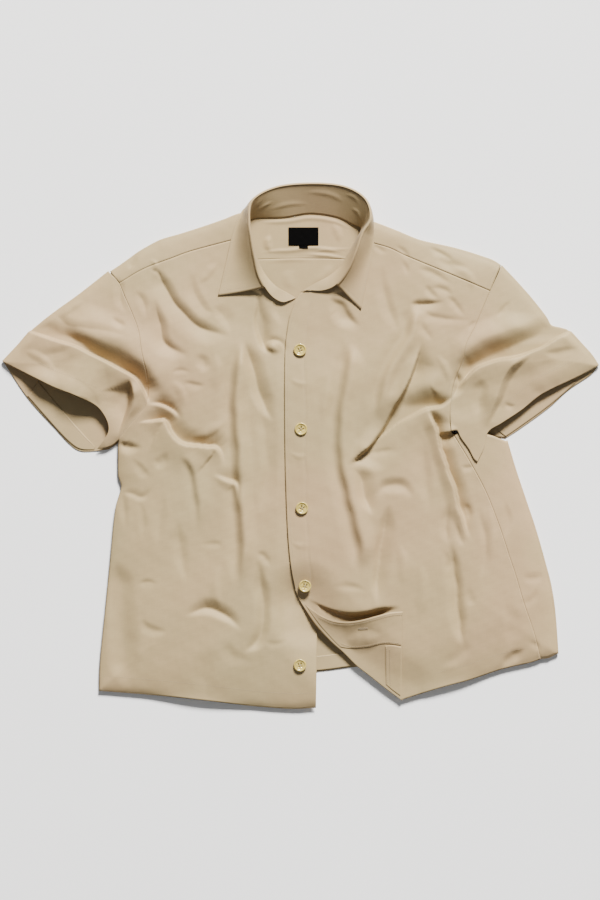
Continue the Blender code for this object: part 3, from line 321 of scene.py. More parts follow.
RIGHT_ARMHOLE = [(109, 272), (119, 283), (125, 297), (133, 315), (139, 332), (142, 352),
                 (147, 376), (147, 402), (138, 416), (126, 430), (119, 439)]
LEFT_ARMHOLE = [(501, 266), (498, 274), (490, 291), (481, 312), (475, 326), (466, 344),
                (462, 362), (455, 380), (451, 398), (450, 416), (451, 431)]
RIGHT_SHOULDER_SEAM = [(119, 283), (143, 269), (172, 258), (191, 251), (228, 241), (247, 236)]
LEFT_SHOULDER_SEAM = [(359, 238.5), (373, 243), (390, 248), (407, 256), (445, 272), (490, 291)]
RIGHT_BACK_ARMHOLE = [(118, 286), (131, 315), (140, 352), (145, 395), (135, 425), (119, 440.5)]
LEFT_BACK_ARMHOLE = [(491, 288), (478, 318), (467, 350), (457, 390), (453, 418), (452, 430)]
YOKE_SEAM = [(118, 286), (180, 266), (260, 259), (345, 259), (420, 267), (491, 288)]
LEFT_SIDE_SEAM = [(453, 434), (470, 462), (486, 492), (499, 525), (509, 555), (516, 576),
                  (524, 603), (534, 632), (541, 659)]
RIGHT_CUFF = [(3, 362), (33.5, 377), (54, 387), (75, 395), (94, 404), (103, 413), (108.5, 425), (107, 435),
              (97, 449)]
LEFT_CUFF = [(598, 366), (579, 376), (543, 393), (522, 409), (502, 422), (488, 431), (484, 446), (477, 461)]
RIGHT_SLEEVE_HEM = [(3, 362), (27, 398), (54, 428), (69, 444), (80, 451), (96, 451)]
LEFT_SLEEVE_HEM = [(598, 366), (591, 375), (569, 390), (549, 408), (520, 429), (506, 438)]
BACK_HEM = [(100, 689), (200, 682), (316, 672), (359, 667), (450, 661), (557, 654)]
FOLD_BACK = [PIVOT, (301, 602), (317, 624), (331, 640), (344, 652), (357, 665), (371, 676),
             (386, 688), (402, 700)]
FLAP_EDGE = [PIVOT, (305, 603), (318, 613.5), (331, 619.5), (346, 621.5), (361, 619.5),
             (376, 615.5), (390, 612), (403, 611)]
FRONT_HEM = [(99, 691), (150, 695), (200, 700), (250, 706), (290, 709), (316, 708)]
LEFT_HEM = [(402, 700), (440, 688), (470, 680), (500, 670), (530, 663), (540, 659.5)]
FRONT_EDGE = [PIVOT, (291, 566), (287.7, 530), (285.5, 471), (284.7, 412), (285, 354.7),
              (287, 332), (290.8, 312.5), (298.5, 295.5), (304, 291.5)]
UNDER_EDGE = [(316, 708), (317, 622), (316, 500), (314, 400), (312, 320), (306, 301.5)]
BUTTONHOLE = [(358.5, 628.6), (367.5, 628.0)]

# Creases of the yoke and back inside the neck, in the columns of the first table
NECK_FOLDS = [
    ([(256, 222), (274, 221.5), (290, 220.5), (311, 217.5), (335, 221), (352, 229.5)], 1.1, 3.5, 6, 0.4),
    ([(258, 252.5), (276, 250.5), (290, 250), (312, 247.5), (335, 249), (356, 248)], 1.3, 4, 6, 0.4),
    ([(304, 254), (318, 254.5), (332, 255.8), (352, 259)], 1.9, 3, 4.5, 0.6),
    ([(314, 251), (326, 249.5), (346, 252.5)], 0.9, 3, 4, 0.4),
    ([(270, 234), (268.5, 243), (271, 253)], 2.2, 5, 10, 0.1),
    ([(262, 262), (290, 259), (318, 260.5)], 0.7, 4, 6, 0.2),
    ([(292, 268), (288, 279), (296, 290)], 1.2, 10, 12, 0),
    ([(334, 262), (325, 275), (312, 287)], 1.6, 9, 12, 0.1),
    ([(331, 222), (338, 232), (340, 244)], 1.0, 8, 9, 0),
]
# Dents of the collar band, on a chart of its own: BAND_ALONG squares for each row of its table, and
# BAND_UP from its lower edge to its fold, in the columns of the first table
BAND_ALONG = 27
BAND_UP = 30
BAND_DENTS = [
    ([(202, 29), (197, 22), (192, 14)], -1.1, 3, 4, 0.6),
    ([(210, 18), (203, 15.5), (196, 10)], -1.0, 3, 4, 0.6),
    ([(204, 9), (222, 12), (243, 9)], -0.7, 4, 6, 0.3),
    ([(272, 23), (283, 25), (295, 21)], -1.1, 3, 4, 0.6),
    ([(283, 13), (297, 14), (309, 8)], -0.9, 3, 4, 0.5),
    ([(236, 22), (258, 21), (277, 15)], -0.7, 5, 6, 0.1),
    ([(312, 24), (322, 16), (330, 8)], -0.9, 4, 5, 0.4),
    ([(170, 24), (163, 15), (160, 7)], -0.8, 4, 5, 0.4),
]


# Curves on the chart

def smooth_run(points, steps=14):
    """A curve through the points (Catmull-Rom), as many short pieces."""
    p = np.array(points, float)
    if len(p) < 3:
        return p
    ends = np.vstack([2 * p[0] - p[1], p, 2 * p[-1] - p[-2]])
    t = np.linspace(0, 1, steps, endpoint=False)[:, None]
    made = []
    for a, b, c, d in zip(ends[:-3], ends[1:-2], ends[2:-1], ends[3:]):
        made.append(0.5 * (2 * b + (c - a) * t + (2 * a - 5 * b + 4 * c - d) * t**2
                           + (3 * b - a - 3 * c + d) * t**3))
    return np.vstack(made + [p[-1:]])


def edge_of(*runs):
    """A function of 0..1 along smooth runs that meet at corners, by length."""
    line = np.vstack([smooth_run(run) for run in runs])
    keep = np.r_[True, np.linalg.norm(np.diff(line, axis=0), axis=1) > 1e-6]
    line = line[keep]
    along = np.r_[0, np.cumsum(np.linalg.norm(np.diff(line, axis=0), axis=1))]
    along /= along[-1]

    def at(t):
        return np.stack([np.interp(t, along, line[:, k]) for k in (0, 1)], axis=-1)
    return at


def coons(bottom, top, left, right, u, v):
    """Places of a four-sided patch: rows follow v, columns follow u."""
    b, t = bottom(u)[None, :, :], top(u)[None, :, :]
    l, r = left(v)[:, None, :], right(v)[:, None, :]
    uu, vv = u[None, :, None], v[:, None, None]
    corners = ((1 - uu) * (1 - vv) * b[:, :1] + uu * (1 - vv) * b[:, -1:]
               + (1 - uu) * vv * t[:, :1] + uu * vv * t[:, -1:])
    return (1 - vv) * b + vv * t + (1 - uu) * l + uu * r - corners


def moved(points, dx, dy):
    """The points shifted on the chart."""
    return [(x + dx, y + dy) for x, y in points]


# The lie of the top layer

def smoothstep(x):
    """0 to 1 with a soft start and end."""
    x = np.clip(x, 0, 1)
    return x * x * (3 - 2 * x)


def off_line(x, y, line):
    """Distance in mm from each place to a line, signed to the right hand, and the share along it."""
    best = np.full(x.shape, 1e9)
    side = np.zeros(x.shape)
    share = np.zeros(x.shape)
    steps = len(line) - 1
    for i in range(steps):
        ax, ay = line[i]
        dx, dy = line[i + 1] - line[i]
        t = np.clip(((x - ax) * dx + (y - ay) * dy) / (dx * dx + dy * dy), 0, 1)
        gx, gy = x - ax - t * dx, y - ay - t * dy
        d = np.hypot(gx, gy)
        closer = d < best
        best = np.where(closer, d, best)
        side = np.where(closer, np.where(dx * gy - dy * gx >= 0, 1.0, -1.0), side)
        share = np.where(closer, (i + t) / steps, share)
    return best * side * CHART, share


def fold_line(row):
    """The curve of a fold on the chart."""
    return smooth_run(row[0], 5)


def hump(s, crisp=0.0):
    """1 at the crest, 0 at the foot of a flank; a crisp one comes to an edge."""
    s = np.clip(np.abs(s), 0, 1)
    return (1 - s)**2 * (1 + 2 * (1 - crisp) * s)


def fading(share, line):
    """Folds rise and die away along their length, over FADE millimetres or two fifths of it."""
    length = np.linalg.norm(np.diff(line, axis=0), axis=1).sum() * CHART
    part = min(0.4, FADE / length)
    return smoothstep(share / part) * smoothstep((1 - share) / part)


def near(x, y, row, reach, work):
    """Work out a fold only where it reaches, so that fine grids stay quick."""
    line = fold_line(row)
    pad = reach / CHART + 1
    low, high = line.min(axis=0) - pad, line.max(axis=0) + pad
    mask = (x > low[0]) & (x < high[0]) & (y > low[1]) & (y < high[1])
    out = np.zeros(x.shape)
    if mask.any():
        out[mask] = work(x[mask], y[mask], line)
    return out


def ridge_height(x, y, row):
    """Height of one rounded fold."""
    rise, left, right, crisp = row[1:]

    def work(px, py, line):
        d, share = off_line(px, py, line)
        fade = fading(share, line)
        reach = np.where(d < 0, left, right) * (0.45 + 0.55 * fade)
        return rise * hump(d / reach, crisp) * fade
    return near(x, y, row, max(left, right), work)


def tuck_height(x, y, row):
    """Height of one fold that tucks under."""
    rise, dip, left, right, edge = row[1:]

    def work(px, py, line):
        d, share = off_line(px, py, line)
        over = smoothstep((d + edge) / (2 * edge))
        fade = fading(share, line)
        taper = 0.45 + 0.55 * fade
        low, high = hump(d / left / taper, 0.7), hump(d / right / taper)
        return (-dip * low * (1 - over) + rise * high * over) * fade
    return near(x, y, row, max(left, right), work)


def inland(x, y):
    """Distance in mm from the shirt's outline."""
    ring = np.array(OUTLINE + OUTLINE[:1], float)
    return np.abs(off_line(x, y, ring)[0])


def waver(x, y):
    """Cloth never lies in ruled curves: places are shifted a little before the folds are read."""
    dx = 0.7 * np.sin(0.071 * y + 0.9) * np.sin(0.043 * x + 0.4) + 0.4 * np.sin(0.19 * y + 0.11 * x)
    dy = 0.7 * np.sin(0.063 * x + 2.1) * np.sin(0.052 * y + 1.3) + 0.4 * np.sin(0.17 * x - 0.13 * y + 1.0)
    return x + dx, y + dy


def ripple(x, y):
    """Faint unevenness of the cloth between the folds, in mm."""
    return (0.7 * np.sin(0.055 * x + 0.03 * y + 1.2 * np.sin(0.021 * y))
            * np.sin(0.037 * y - 0.02 * x + 0.9)
            + 0.2 * np.sin(0.16 * x + 0.07 * y + 1.7 * np.sin(0.05 * y)) * np.sin(0.11 * y - 0.05 * x + 0.6)
            + 0.1 * np.sin(0.31 * x - 0.17 * y + 0.8 * np.sin(0.09 * x)) * np.sin(0.23 * y + 0.09 * x + 1.9)
            + 0.05 * np.sin(0.55 * x + 0.33 * y) * np.sin(0.47 * y - 0.21 * x + 0.3))


def softly_above(z, lowest):
    """The height, rounded off where it would sink below the lowest one."""
    return lowest + SOFT * np.logaddexp(0, (z - lowest) / SOFT)


def top_layer(x, y, fine=True):
    """Middle of the top layer's wall above the table, in mm."""
    x, y = np.broadcast_arrays(np.asarray(x, float), np.asarray(y, float))
    inside = inland(x, y)
    open_hem = sum(hump((x - middle) / HEM_MOUTH) for middle in HEM_OPENINGS) * smoothstep((y - 610) / 50)
    edge = EDGE_Z + HEM_OPEN * open_hem
    from_neck = np.hypot(x - NECK_AT[0], y - NECK_AT[1])
    loft = LOFT + SWELL * smoothstep((from_neck - 80) / 60)
    z = edge + (ROLLED - edge) * (1 - np.exp(-inside / ROLL_RUN))
    z += (loft - ROLLED) * (1 - np.exp(-inside / LOFT_RUN))
    to_fold = np.abs(off_line(x, y, smooth_run(SETTLE_LINE, 3))[0])
    z -= (z - SETTLED) * hump(to_fold / (2 * SETTLE_RUN))
    wx, wy = waver(x, y) if fine else (x, y)
    folds = np.zeros(x.shape)
    for row in RIDGES + (FINE_RIDGES if fine else []):
        folds += ridge_height(wx, wy, row)
    for row in TUCKS:
        folds += tuck_height(wx, wy, row)
    if fine:
        folds += ripple(x, y)
    z = z + folds * (0.35 + 0.65 * smoothstep(inside / INLAND))
    within = np.zeros(x.shape)
    for x0, x1, y0, y1 in HOLLOWS:
        out = np.hypot(np.maximum(abs(x - (x0 + x1) / 2) - (x1 - x0) / 2, 0),
                       np.maximum(abs(y - (y0 + y1) / 2) - (y1 - y0) / 2, 0))
        within = np.maximum(within, smoothstep(1 - out / 12))
    inner = LOWEST_INSIDE + (HOLLOW_Z - LOWEST_INSIDE) * within
    lowest = LOWEST_EDGE + (inner - LOWEST_EDGE) * (1 - np.exp(-inside / INLAND))
    lowest = np.maximum(lowest, np.minimum(edge - 0.6, inner))
    return softly_above(z, lowest)


def lapped(x, y):
    """How far the button edge lies under the front that laps over it."""
    return LAP * smoothstep((x - 276) / 12) * smoothstep((650 - y) / 22)


def front_height(x, y):
    """The left front, sunk under the free edge of its turned-back corner but clear of the right front."""
    sink = np.maximum(tuck_height(x, y, UNDER_FLAP), -1.2 - 20 * smoothstep((x - 317) / 16))
    return softly_above(top_layer(x, y) + sink, LOWEST_INSIDE)


def right_front_height(x, y):
    """The right front, under the lap but clear of the back."""
    return np.maximum(top_layer(x, y) - lapped(x, y), FLAT_Z + CLOTH + SEAM)


def flap_height(x, y):
    """The turned-back corner lies over the front and lifts along its free edge."""
    to_edge = np.abs(off_line(x, y, smooth_run(FLAP_EDGE))[0])
    lift = 7.5 * np.exp(-to_edge / 22.0) * smoothstep((x - 300) / 22) * smoothstep((412 - x) / 40)
    swell = ridge_height(x, y, ([(345, 640), (362, 640), (384, 636)], 3.0, 18, 22, 0))
    opened = smoothstep(np.hypot(x - PIVOT[0], y - PIVOT[1]) / 42)
    return top_layer(x, y) + (FLAP_GAP + lift + swell) * opened


def mouth_lift(x, y):
    """The right sleeve rises over its mouth."""
    return ridge_height(x, y, ([(20, 372), (62, 392), (100, 424)], 9.0, 30, 30, 0))


def tip_lift(x, y):
    """The left sleeve rises over the end of its underarm."""
    return 2.6 * smoothstep((y - 405) / 20)


def right_sleeve_height(x, y):
    return top_layer(x, y) + mouth_lift(x, y)


def left_sleeve_height(x, y):
    return top_layer(x, y) + tip_lift(x, y)


def flat_height(x, y):
    """Cloth that lies on the table."""
    return np.full(np.shape(x), FLAT_Z)


def neck_height(x, y):
    """The yoke and back inside the neck."""
    z = flat_height(x, y)
    for row in NECK_FOLDS:
        z = z + ridge_height(x, y, row)
    return z


def on_flap(x, y):
    """What is sewn on the turned-back corner."""
    return flap_height(x, y) + CLOTH


def on_hem(x, y):
    """Hems turned up on the cloth that lies on the table."""
    return flat_height(x, y) + CLOTH - HEM_DROP


# Building pieces

pieces = {}


def raised(grid, z):
    """Points in mm from chart places and heights."""
    out = np.empty(grid.shape[:-1] + (3,))
    out[..., 0] = (grid[..., 0] - CHART_X) * CHART
    out[..., 1] = (CHART_Y - grid[..., 1]) * CHART
    out[..., 2] = z
    return out


def place(name, mesh, node):
    """Put a piece in the scene, on the root body, in place of its solid if it has one."""
    made = bpy.data.objects.new(name, mesh)
    bpy.context.scene.collection.objects.link(made)
    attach(made, "root")
    if node:
        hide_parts(node)
    pieces[name] = made
    return made


def cloth(name, patches, look, node, wall=SHELL):
    """One sheet of cloth from grids of points that share their edges, with an even wall."""
    mesh = bpy.data.meshes.new(name)
    points, faces, start = [], [], 0
    for grid in patches:
        rows, columns = grid.shape[:2]
        index = start + np.arange(rows * columns).reshape(rows, columns)
        points.append(grid.reshape(-1, 3) / 1000)
        corners = [index[:-1, :-1], index[:-1, 1:], index[1:, 1:], index[1:, :-1]]
        faces.append(np.stack(corners, axis=-1).reshape(-1, 4))
        start += rows * columns
    mesh.from_pydata(np.vstack(points), [], np.vstack(faces))
    bm = bmesh.new()
    bm.from_mesh(mesh)
    bmesh.ops.remove_doubles(bm, verts=bm.verts, dist=1e-5)
    bmesh.ops.recalc_face_normals(bm, faces=bm.faces)
    bm.to_mesh(mesh)
    bm.free()
    mesh.shade_smooth()
    mesh.materials.append(look)
    made = place(name, mesh, node)
    solid = made.modifiers.new("wall", "SOLIDIFY")
    solid.thickness = wall / 1000
    solid.offset = 0


def turn(lower, upper, out, steps=8):
    """Grid that carries cloth round a fold, from one edge to the edge above it."""
    middle = (lower + upper) / 2
    half = (upper - lower) / 2
    radius = np.linalg.norm(half, axis=1)[:, None]
    rows = []
    for k in range(steps + 1):
        a = math.pi * k / steps
        bulge = np.zeros_like(middle)
        bulge[:, :2] = out
        rows.append(middle - half * math.cos(a) + bulge * radius * math.sin(a))
    return np.array(rows)


def outward(line):
    """Unit normals in plan of a row of points, on the right hand walking along it in the row frame."""
    step = np.gradient(line[:, :2], axis=0)
    normal = np.stack([step[:, 1], -step[:, 0]], axis=1)
    return normal / np.linalg.norm(normal, axis=1)[:, None]


def right_front(look):
    """From the hem to the shoulder seam, and from the side to the edge under the lap."""
    hem = edge_of(FRONT_HEM)
    shoulder = edge_of(moved(RIGHT_SHOULDER_SEAM, 0, GAP))
    side = edge_of([(99, 691), (100, 660), (105, 610), (110, 560), (115, 510), (121, 487), (118, 475),
                    (118, 446)], moved(RIGHT_ARMHOLE[:1:-1], GAP, 0), [(125.2, 297), (119.2, 283.2)])
    neck = [(row[0] - 0.4, row[1] + 0.8) for row in BAND[:6]]
    front = edge_of(UNDER_EDGE, [(306, 301.5)] + neck + [(247, 236.2)])
    grid = coons(hem, shoulder, side, front, np.linspace(0, 1, 140), np.linspace(0, 1, 300))
    z = right_front_height(grid[..., 0], grid[..., 1])
    cloth("cloth_right_front", [raised(grid, z)], look, "right_front")


def left_front(look):
    """The front on top, the roll along the folded corner, and the corner turned back over it."""
    neck = [(row[0] + 0.3, row[1] + 0.8) for row in BAND[:12:-1]]
    front = edge_of(FRONT_EDGE, [(304, 291.5)] + neck[1:] + [(359, 238.7)])
    seam = moved(LEFT_SIDE_SEAM, -GAP, 0.2)
    side = edge_of(seam[::-1], moved(LEFT_ARMHOLE[:1:-1], -GAP, 0.2), [(489.8, 291.2)])
    fold = edge_of(FOLD_BACK)
    hem = edge_of(LEFT_HEM)
    shoulder = edge_of(moved(LEFT_SHOULDER_SEAM, 0, GAP))
    folded, share = 60, 0.46            # columns along the corner's fold, and its share of the lower edge

    def foot(u):
        on_fold = fold(np.clip(u / share, 0, 1))
        on_hem = hem(np.clip((u - share) / (1 - share), 0, 1))
        return np.where((u <= share)[:, None], on_fold, on_hem)

    u = np.r_[np.linspace(0, share, folded), np.linspace(share, 1, 66)[1:]]
    grid = coons(foot, shoulder, front, side, u, np.linspace(0, 1, 280))
    main = raised(grid, front_height(grid[..., 0], grid[..., 1]))
    flap = flap_points(fold, folded, 60)
    roll = turn(main[0, :folded], flap[0], outward(main[0, :folded]))
    cloth("cloth_left_front", [main, roll, flap], look, "left_front")


def flap_points(fold, columns, rows):
    """The turned-back corner: rows go from its fold to its free edge, columns fan out from the pivot."""
    free = edge_of(FLAP_EDGE)
    hem = edge_of([(402, 700), (402.5, 690), (402, 655), (403, 611)])
    pivot = edge_of([PIVOT, (PIVOT[0] + 0.01, PIVOT[1] + 0.01)])
    grid = coons(fold, free, pivot, hem, np.linspace(0, 1, columns), np.linspace(0, 1, rows))
    grid[:, 0] = PIVOT
    grid[0] = fold(np.linspace(0, 1, columns))
    return raised(grid, flap_height(grid[..., 0], grid[..., 1]))


def back(look):
    """On the table up to the yoke, and round the left side up to the side seam on top."""
    rows, columns = np.linspace(0, 1, 80), np.linspace(0, 1, 110)
    hem = edge_of(BACK_HEM)
    chest = edge_of([(119, 441), (240, 441), (380, 441), (506, 441)])
    left = edge_of([(100, 689), (101, 660), (106, 610), (111, 560), (116, 510), (121, 487), (119, 475),
                    (119, 441)])
    right = edge_of([(557, 654), (555, 620), (551, 590), (545, 565), (535, 530), (525, 500), (515, 470),
                     (506, 441)])
    lower = coons(hem, chest, left, right, columns, rows)
    flat = raised(lower, FLAT_Z)
    seam = edge_of(moved(YOKE_SEAM, 0, GAP))
    arm_left = edge_of([(119, 441)], moved(RIGHT_BACK_ARMHOLE[-2:0:-1], GAP + 0.5, 0.5), [tuple(seam(0))])
    arm_right = edge_of([(506, 441), (488, 437.5), (470, 434), (451, 432)],
                        moved(LEFT_BACK_ARMHOLE[-2:0:-1], -GAP - 0.1, 0), [tuple(seam(1))])
    upper = coons(chest, seam, arm_left, arm_right, columns, np.linspace(0, 1, 90)**0.5)
    rim = lower[:, -1]
    side = edge_of(moved(LEFT_SIDE_SEAM, GAP, 0)[::-1])
    wrap_hem = edge_of([tuple(side(0)), (549, 658), tuple(rim[0])])
    wrap_top = edge_of([tuple(side(1)), (485, 434), tuple(rim[-1])])
    wrap = coons(wrap_hem, wrap_top, side, edge_of([tuple(p) for p in rim]), np.linspace(0, 1, 40),
                 rows)
    wrap[:, -1] = rim
    over = raised(wrap, top_layer(wrap[..., 0], wrap[..., 1]))
    roll = turn(flat[:, -1], over[:, -1], outward(flat[:, -1]))
    upper = raised(upper, neck_height(upper[..., 0], upper[..., 1]))
    cloth("cloth_back", [flat, upper, roll, over], look, "back")


def yoke(look):
    """On the table inside the neck, and over both shoulders to the seams on the fronts."""
    shoulder_right = [(111, 273), (122, 265.5), (140, 252.5), (160, 241.5), (180, 235.5), (205, 227.5),
                      (225, 220.5), (238, 215.5), (248, 214.5)]
    neck = [(248, 214.5), (266.5, 217.3), (287, 215.7), (309, 212), (322, 213), (337, 215.7), (350, 221.5),
            (364, 222.3)]
    shoulder_left = [(364, 222.3), (372, 223), (395, 231.5), (420, 241.5), (455, 249.5), (490, 260.5),
                     (500.4, 266.3)]
    many, few = 90, 110                 # columns along a shoulder, and round the neck
    rim = np.vstack([edge_of(run)(np.linspace(0, 1, count))
                     for run, count in ((shoulder_right, many), (neck, few), (shoulder_left, many))])
    rim = np.delete(rim, (many, many + few), axis=0)
    seam = edge_of(moved(YOKE_SEAM, 0, -GAP))
    along = np.linspace(0, 1, len(rim))
    middle = (rim + seam(along)) / 2
    ends = np.exp(-along * 30)[:, None] * ((rim[0] + (1.5, 4)) - middle[0])
    middle = middle + ends + np.exp(-(1 - along) * 30)[:, None] * ((rim[-1] + (-2.5, 8)) - middle[-1])
    share = np.linspace(0, 1, 44)[:, None, None]
    first, last = seam(along), rim
    pulled = 2 * middle - (first + last) / 2
    sheet = (1 - share)**2 * first + 2 * share * (1 - share) * pulled + share**2 * last
    flat = raised(sheet, neck_height(sheet[..., 0], sheet[..., 1]))
    patches = [flat]
    for start, end, front_seam in ((0, many, RIGHT_SHOULDER_SEAM),
                                   (len(rim) - many, len(rim), LEFT_SHOULDER_SEAM)):
        edge = rim[start:end]
        front_edge = edge_of(moved(front_seam, 0, -GAP))(np.linspace(0, 1, end - start))
        part = np.linspace(0, 1, 16)[:, None, None]
        shoulder = edge[None] * (1 - part) + front_edge[None] * part
        over = raised(shoulder, top_layer(shoulder[..., 0], shoulder[..., 1]))
        patches += [turn(flat[-1, start:end], over[0], -outward(flat[-1, start:end])), over]
    cloth("cloth_yoke", patches, look, "yoke")


def sleeve(name, armholes, outline, unders, hems, look, height):
    """A flat tube: the upper side, the roll along its top edge, and the under side in its mouth."""
    rows, top = np.linspace(0, 1, 120), edge_of(outline)
    front, rear = (coons(edge_of(armholes[k]), edge_of(hems[k]), top, edge_of(unders[k]),
                         np.linspace(0, 1, columns), rows) for k, columns in enumerate((130, 40)))
    over = raised(front, height(front[..., 0], front[..., 1]))
    flat = raised(rear, FLAT_Z)
    sign = 1 if outline[-1][0] > outline[0][0] else -1
    roll = turn(flat[:, 0], over[:, 0], -sign * outward(flat[:, 0]))
    cloth("cloth_" + name, [over, roll, flat], look, name)


def sleeves(look):
    """Both sleeves, from the armhole seams to the mouths."""
    front = moved(RIGHT_ARMHOLE, -GAP, 0)
    rear = [front[0]] + moved(RIGHT_BACK_ARMHOLE, -GAP - 0.4, -0.5)[1:-1] + [(116.5, 444)]
    outline = [front[0], (80, 295), (55, 313), (33, 330), (20, 344), (3, 362)]
    unders = ([front[-1], (112, 445), (104, 448), (97, 449)],
              [rear[-1], (112, 447), (107, 449.5), (96, 451)])
    sleeve("right_sleeve", (front, rear), outline, unders, (RIGHT_CUFF, RIGHT_SLEEVE_HEM), look,
           right_sleeve_height)
    front = moved(LEFT_ARMHOLE, GAP, 0)
    rear = [front[0]] + moved(LEFT_BACK_ARMHOLE, GAP, 0)[1:-1] + [(455.5, 426)]
    outline = [front[0], (515, 281), (530, 298), (545, 317), (551, 326), (562, 329), (570, 333),
               (590, 354), (598, 366)]
    unders = ([front[-1], (457, 431), (461, 438.5), (468.5, 449), (473.5, 458.5), (477, 462)],
              [rear[-1], (470, 433.4), (487, 436.4), (506, 438)])
    sleeve("left_sleeve", (front, rear), outline, unders, (LEFT_CUFF, LEFT_SLEEVE_HEM), look,
           left_sleeve_height)


def strip(name, edges, height, shape, look):
    """A piece sewn flat on another one, between four edges."""
    columns, rows = (np.linspace(0, 1, count) for count in shape)
    grid = coons(*(edge_of(*runs) for runs in edges), columns, rows)
    cloth("cloth_" + name, [raised(grid, height(grid[..., 0], grid[..., 1]))], look, name)


def strips(look):
    """The facing and hem turn on the corner, the back's hem, and the sleeves' hems in their mouths."""
    lower = [(341, 647.3), (352, 648.5), (368, 647), (384, 643.5), (401, 645)]
    upper = moved(FLAP_EDGE, 0, 0.7)[2:-1]
    strip("left_facing",
          ([lower],
           [[(305.5, 605)], [(318, 614.3)] + upper[1:] + [(401.6, 611.7)]],
           [[lower[0], (333.5, 640), (319.5, 624.2), (305.5, 605)]],
           [[lower[-1], (401.6, 611.7)]]),
          lambda x, y: on_flap(x, y) - FACING_DROP, (90, 40), look)
    strip("left_hem_turn",
          ([[(386, 684.5), (393, 690.5), (400.5, 696)]],
           [[(385, 645.5), (392, 645), (401, 646.6)]],
           [[(386, 684.5), (385.3, 665), (385, 645.5)]],
           [[(400.5, 696), (400.5, 680), (401, 646.6)]]),
          lambda x, y: on_flap(x, y) - HEM_TURN_DROP, (24, 50), look)
    back_outer, back_inner = moved(BACK_HEM, 0, -1.0), moved(BACK_HEM, 0, -15.5)
    back_outer[0], back_outer[-1] = (103, 687.5), (549, 654)
    back_inner[0], back_inner[-1] = (104, 673.5), (547, 640)
    for name, outer, inner, shape in (
            ("back_hem", back_outer, back_inner, (200, 12)),
            ("right_sleeve_hem", [(27, 396), (54, 426.5), (69, 442), (80, 449), (94, 449.5)],
             [(38, 381), (46, 391), (67, 416), (83, 434), (95, 447)], (90, 14)),
            ("left_sleeve_hem", [(576, 383), (549, 406), (520, 427), (506, 436.5)],
             [(560, 372), (536, 392), (511, 413), (494, 427)], (90, 14))):
        ends = [[outer[0], inner[0]]], [[outer[-1], inner[-1]]]
        strip(name, ([outer], [inner], *ends), on_hem, shape, look)


def band_lines():
    """The collar band's lower edge, and the fold along its top."""
    rows = smooth_run(BAND, BAND_STEPS)
    x, y, on_front = rows[:, 0], rows[:, 1], np.clip(rows[:, 2], 0, 1)
    low = FLAT_Z + BAND_CLEAR
    button_side = x < 298
    high = top_layer(x, y, False) - lapped(x, y) * button_side + BAND_CLEAR
    return raised(rows[:, 0:2], low + (high - low) * on_front), raised(rows[:, 3:5], rows[:, 5])


def collar_band(look):
    """The stand, from the neck seam up to its fold."""
    base, top = band_lines()
    share = np.linspace(0, 1, 24)[:, None, None]
    grid = base[None] * (1 - share) + top[None] * share
    across = np.cross(np.gradient(grid, axis=1), np.gradient(grid, axis=0))
    across /= np.linalg.norm(across, axis=2)[..., None]
    x, y = np.broadcast_arrays(np.arange(grid.shape[1])[None] / BAND_STEPS * BAND_ALONG,
                               BAND_UP * share[..., 0])
    dent = sum(ridge_height(x, y, row) for row in BAND_DENTS) * np.sin(math.pi * share[..., 0])**0.5
    cloth("cloth_collar_band", [grid - across * dent[..., None]], look, "collar_band", COLLAR_SHELL)


def leaf_line(start, outer, share, bulge, on_shoulder):
    """A line along the leaf: it drops quickly from the band, then lies just clear of the fronts."""
    line = start * (1 - share) + outer * share + bulge * math.sin(math.pi * share**0.7)
    line[:, 2] = outer[:, 2] + (start[:, 2] - outer[:, 2]) * (1 - share)**3
    x, y = line[:, 0] / CHART + CHART_X, CHART_Y - line[:, 1] / CHART
    rest = top_layer(x, y) + LEAF_CLEAR
    line[:, 2] = np.where(on_shoulder, np.maximum(line[:, 2], rest), line[:, 2])
    return line


def collar_leaf(look):
    """The leaf turns over the top of the band and falls to its outer edge. Returns its grid."""
    top = band_lines()[1]
    rows = smooth_run(LEAF, BAND_STEPS)
    at = rows[:, 0] * BAND_STEPS
    fold = np.stack([np.interp(at, np.arange(len(top)), top[:, k]) for k in range(3)], axis=1)
    rest = top_layer(rows[:, 1], rows[:, 2]) + LEAF_CLEAR
    on_shoulder = rows[:, 2] > 212      # the part behind the neck hangs free
    outer = raised(rows[:, 1:3], np.where(on_shoulder, np.maximum(rows[:, 3], rest), rows[:, 3]))
    bulge = rows[:, 4][:, None]
    away = np.gradient(fold[:, :2], axis=0)
    away = np.stack([away[:, 1], -away[:, 0]], axis=1)
    away /= np.linalg.norm(away, axis=1)[:, None]
    away = np.column_stack([-away, np.zeros(len(away))])
    over, side = COLLAR_SHELL + 0.15, COLLAR_WALL + 0.9
    grid = []
    for part in np.linspace(0, 1, 7):
        a = math.pi / 2 * part
        grid.append(fold + away * side * math.sin(a) + (0, 0, over * math.cos(a) - 0.4 * part))
    start = grid[-1]
    for share in np.linspace(0, 1, 34)[1:]:
        grid.append(leaf_line(start, outer, share, away * bulge, on_shoulder))
    grid = np.array(grid)
    cloth("cloth_collar_leaf", [grid], look, "collar_leaf", COLLAR_SHELL)
    return grid


# Buttons, label and stitches

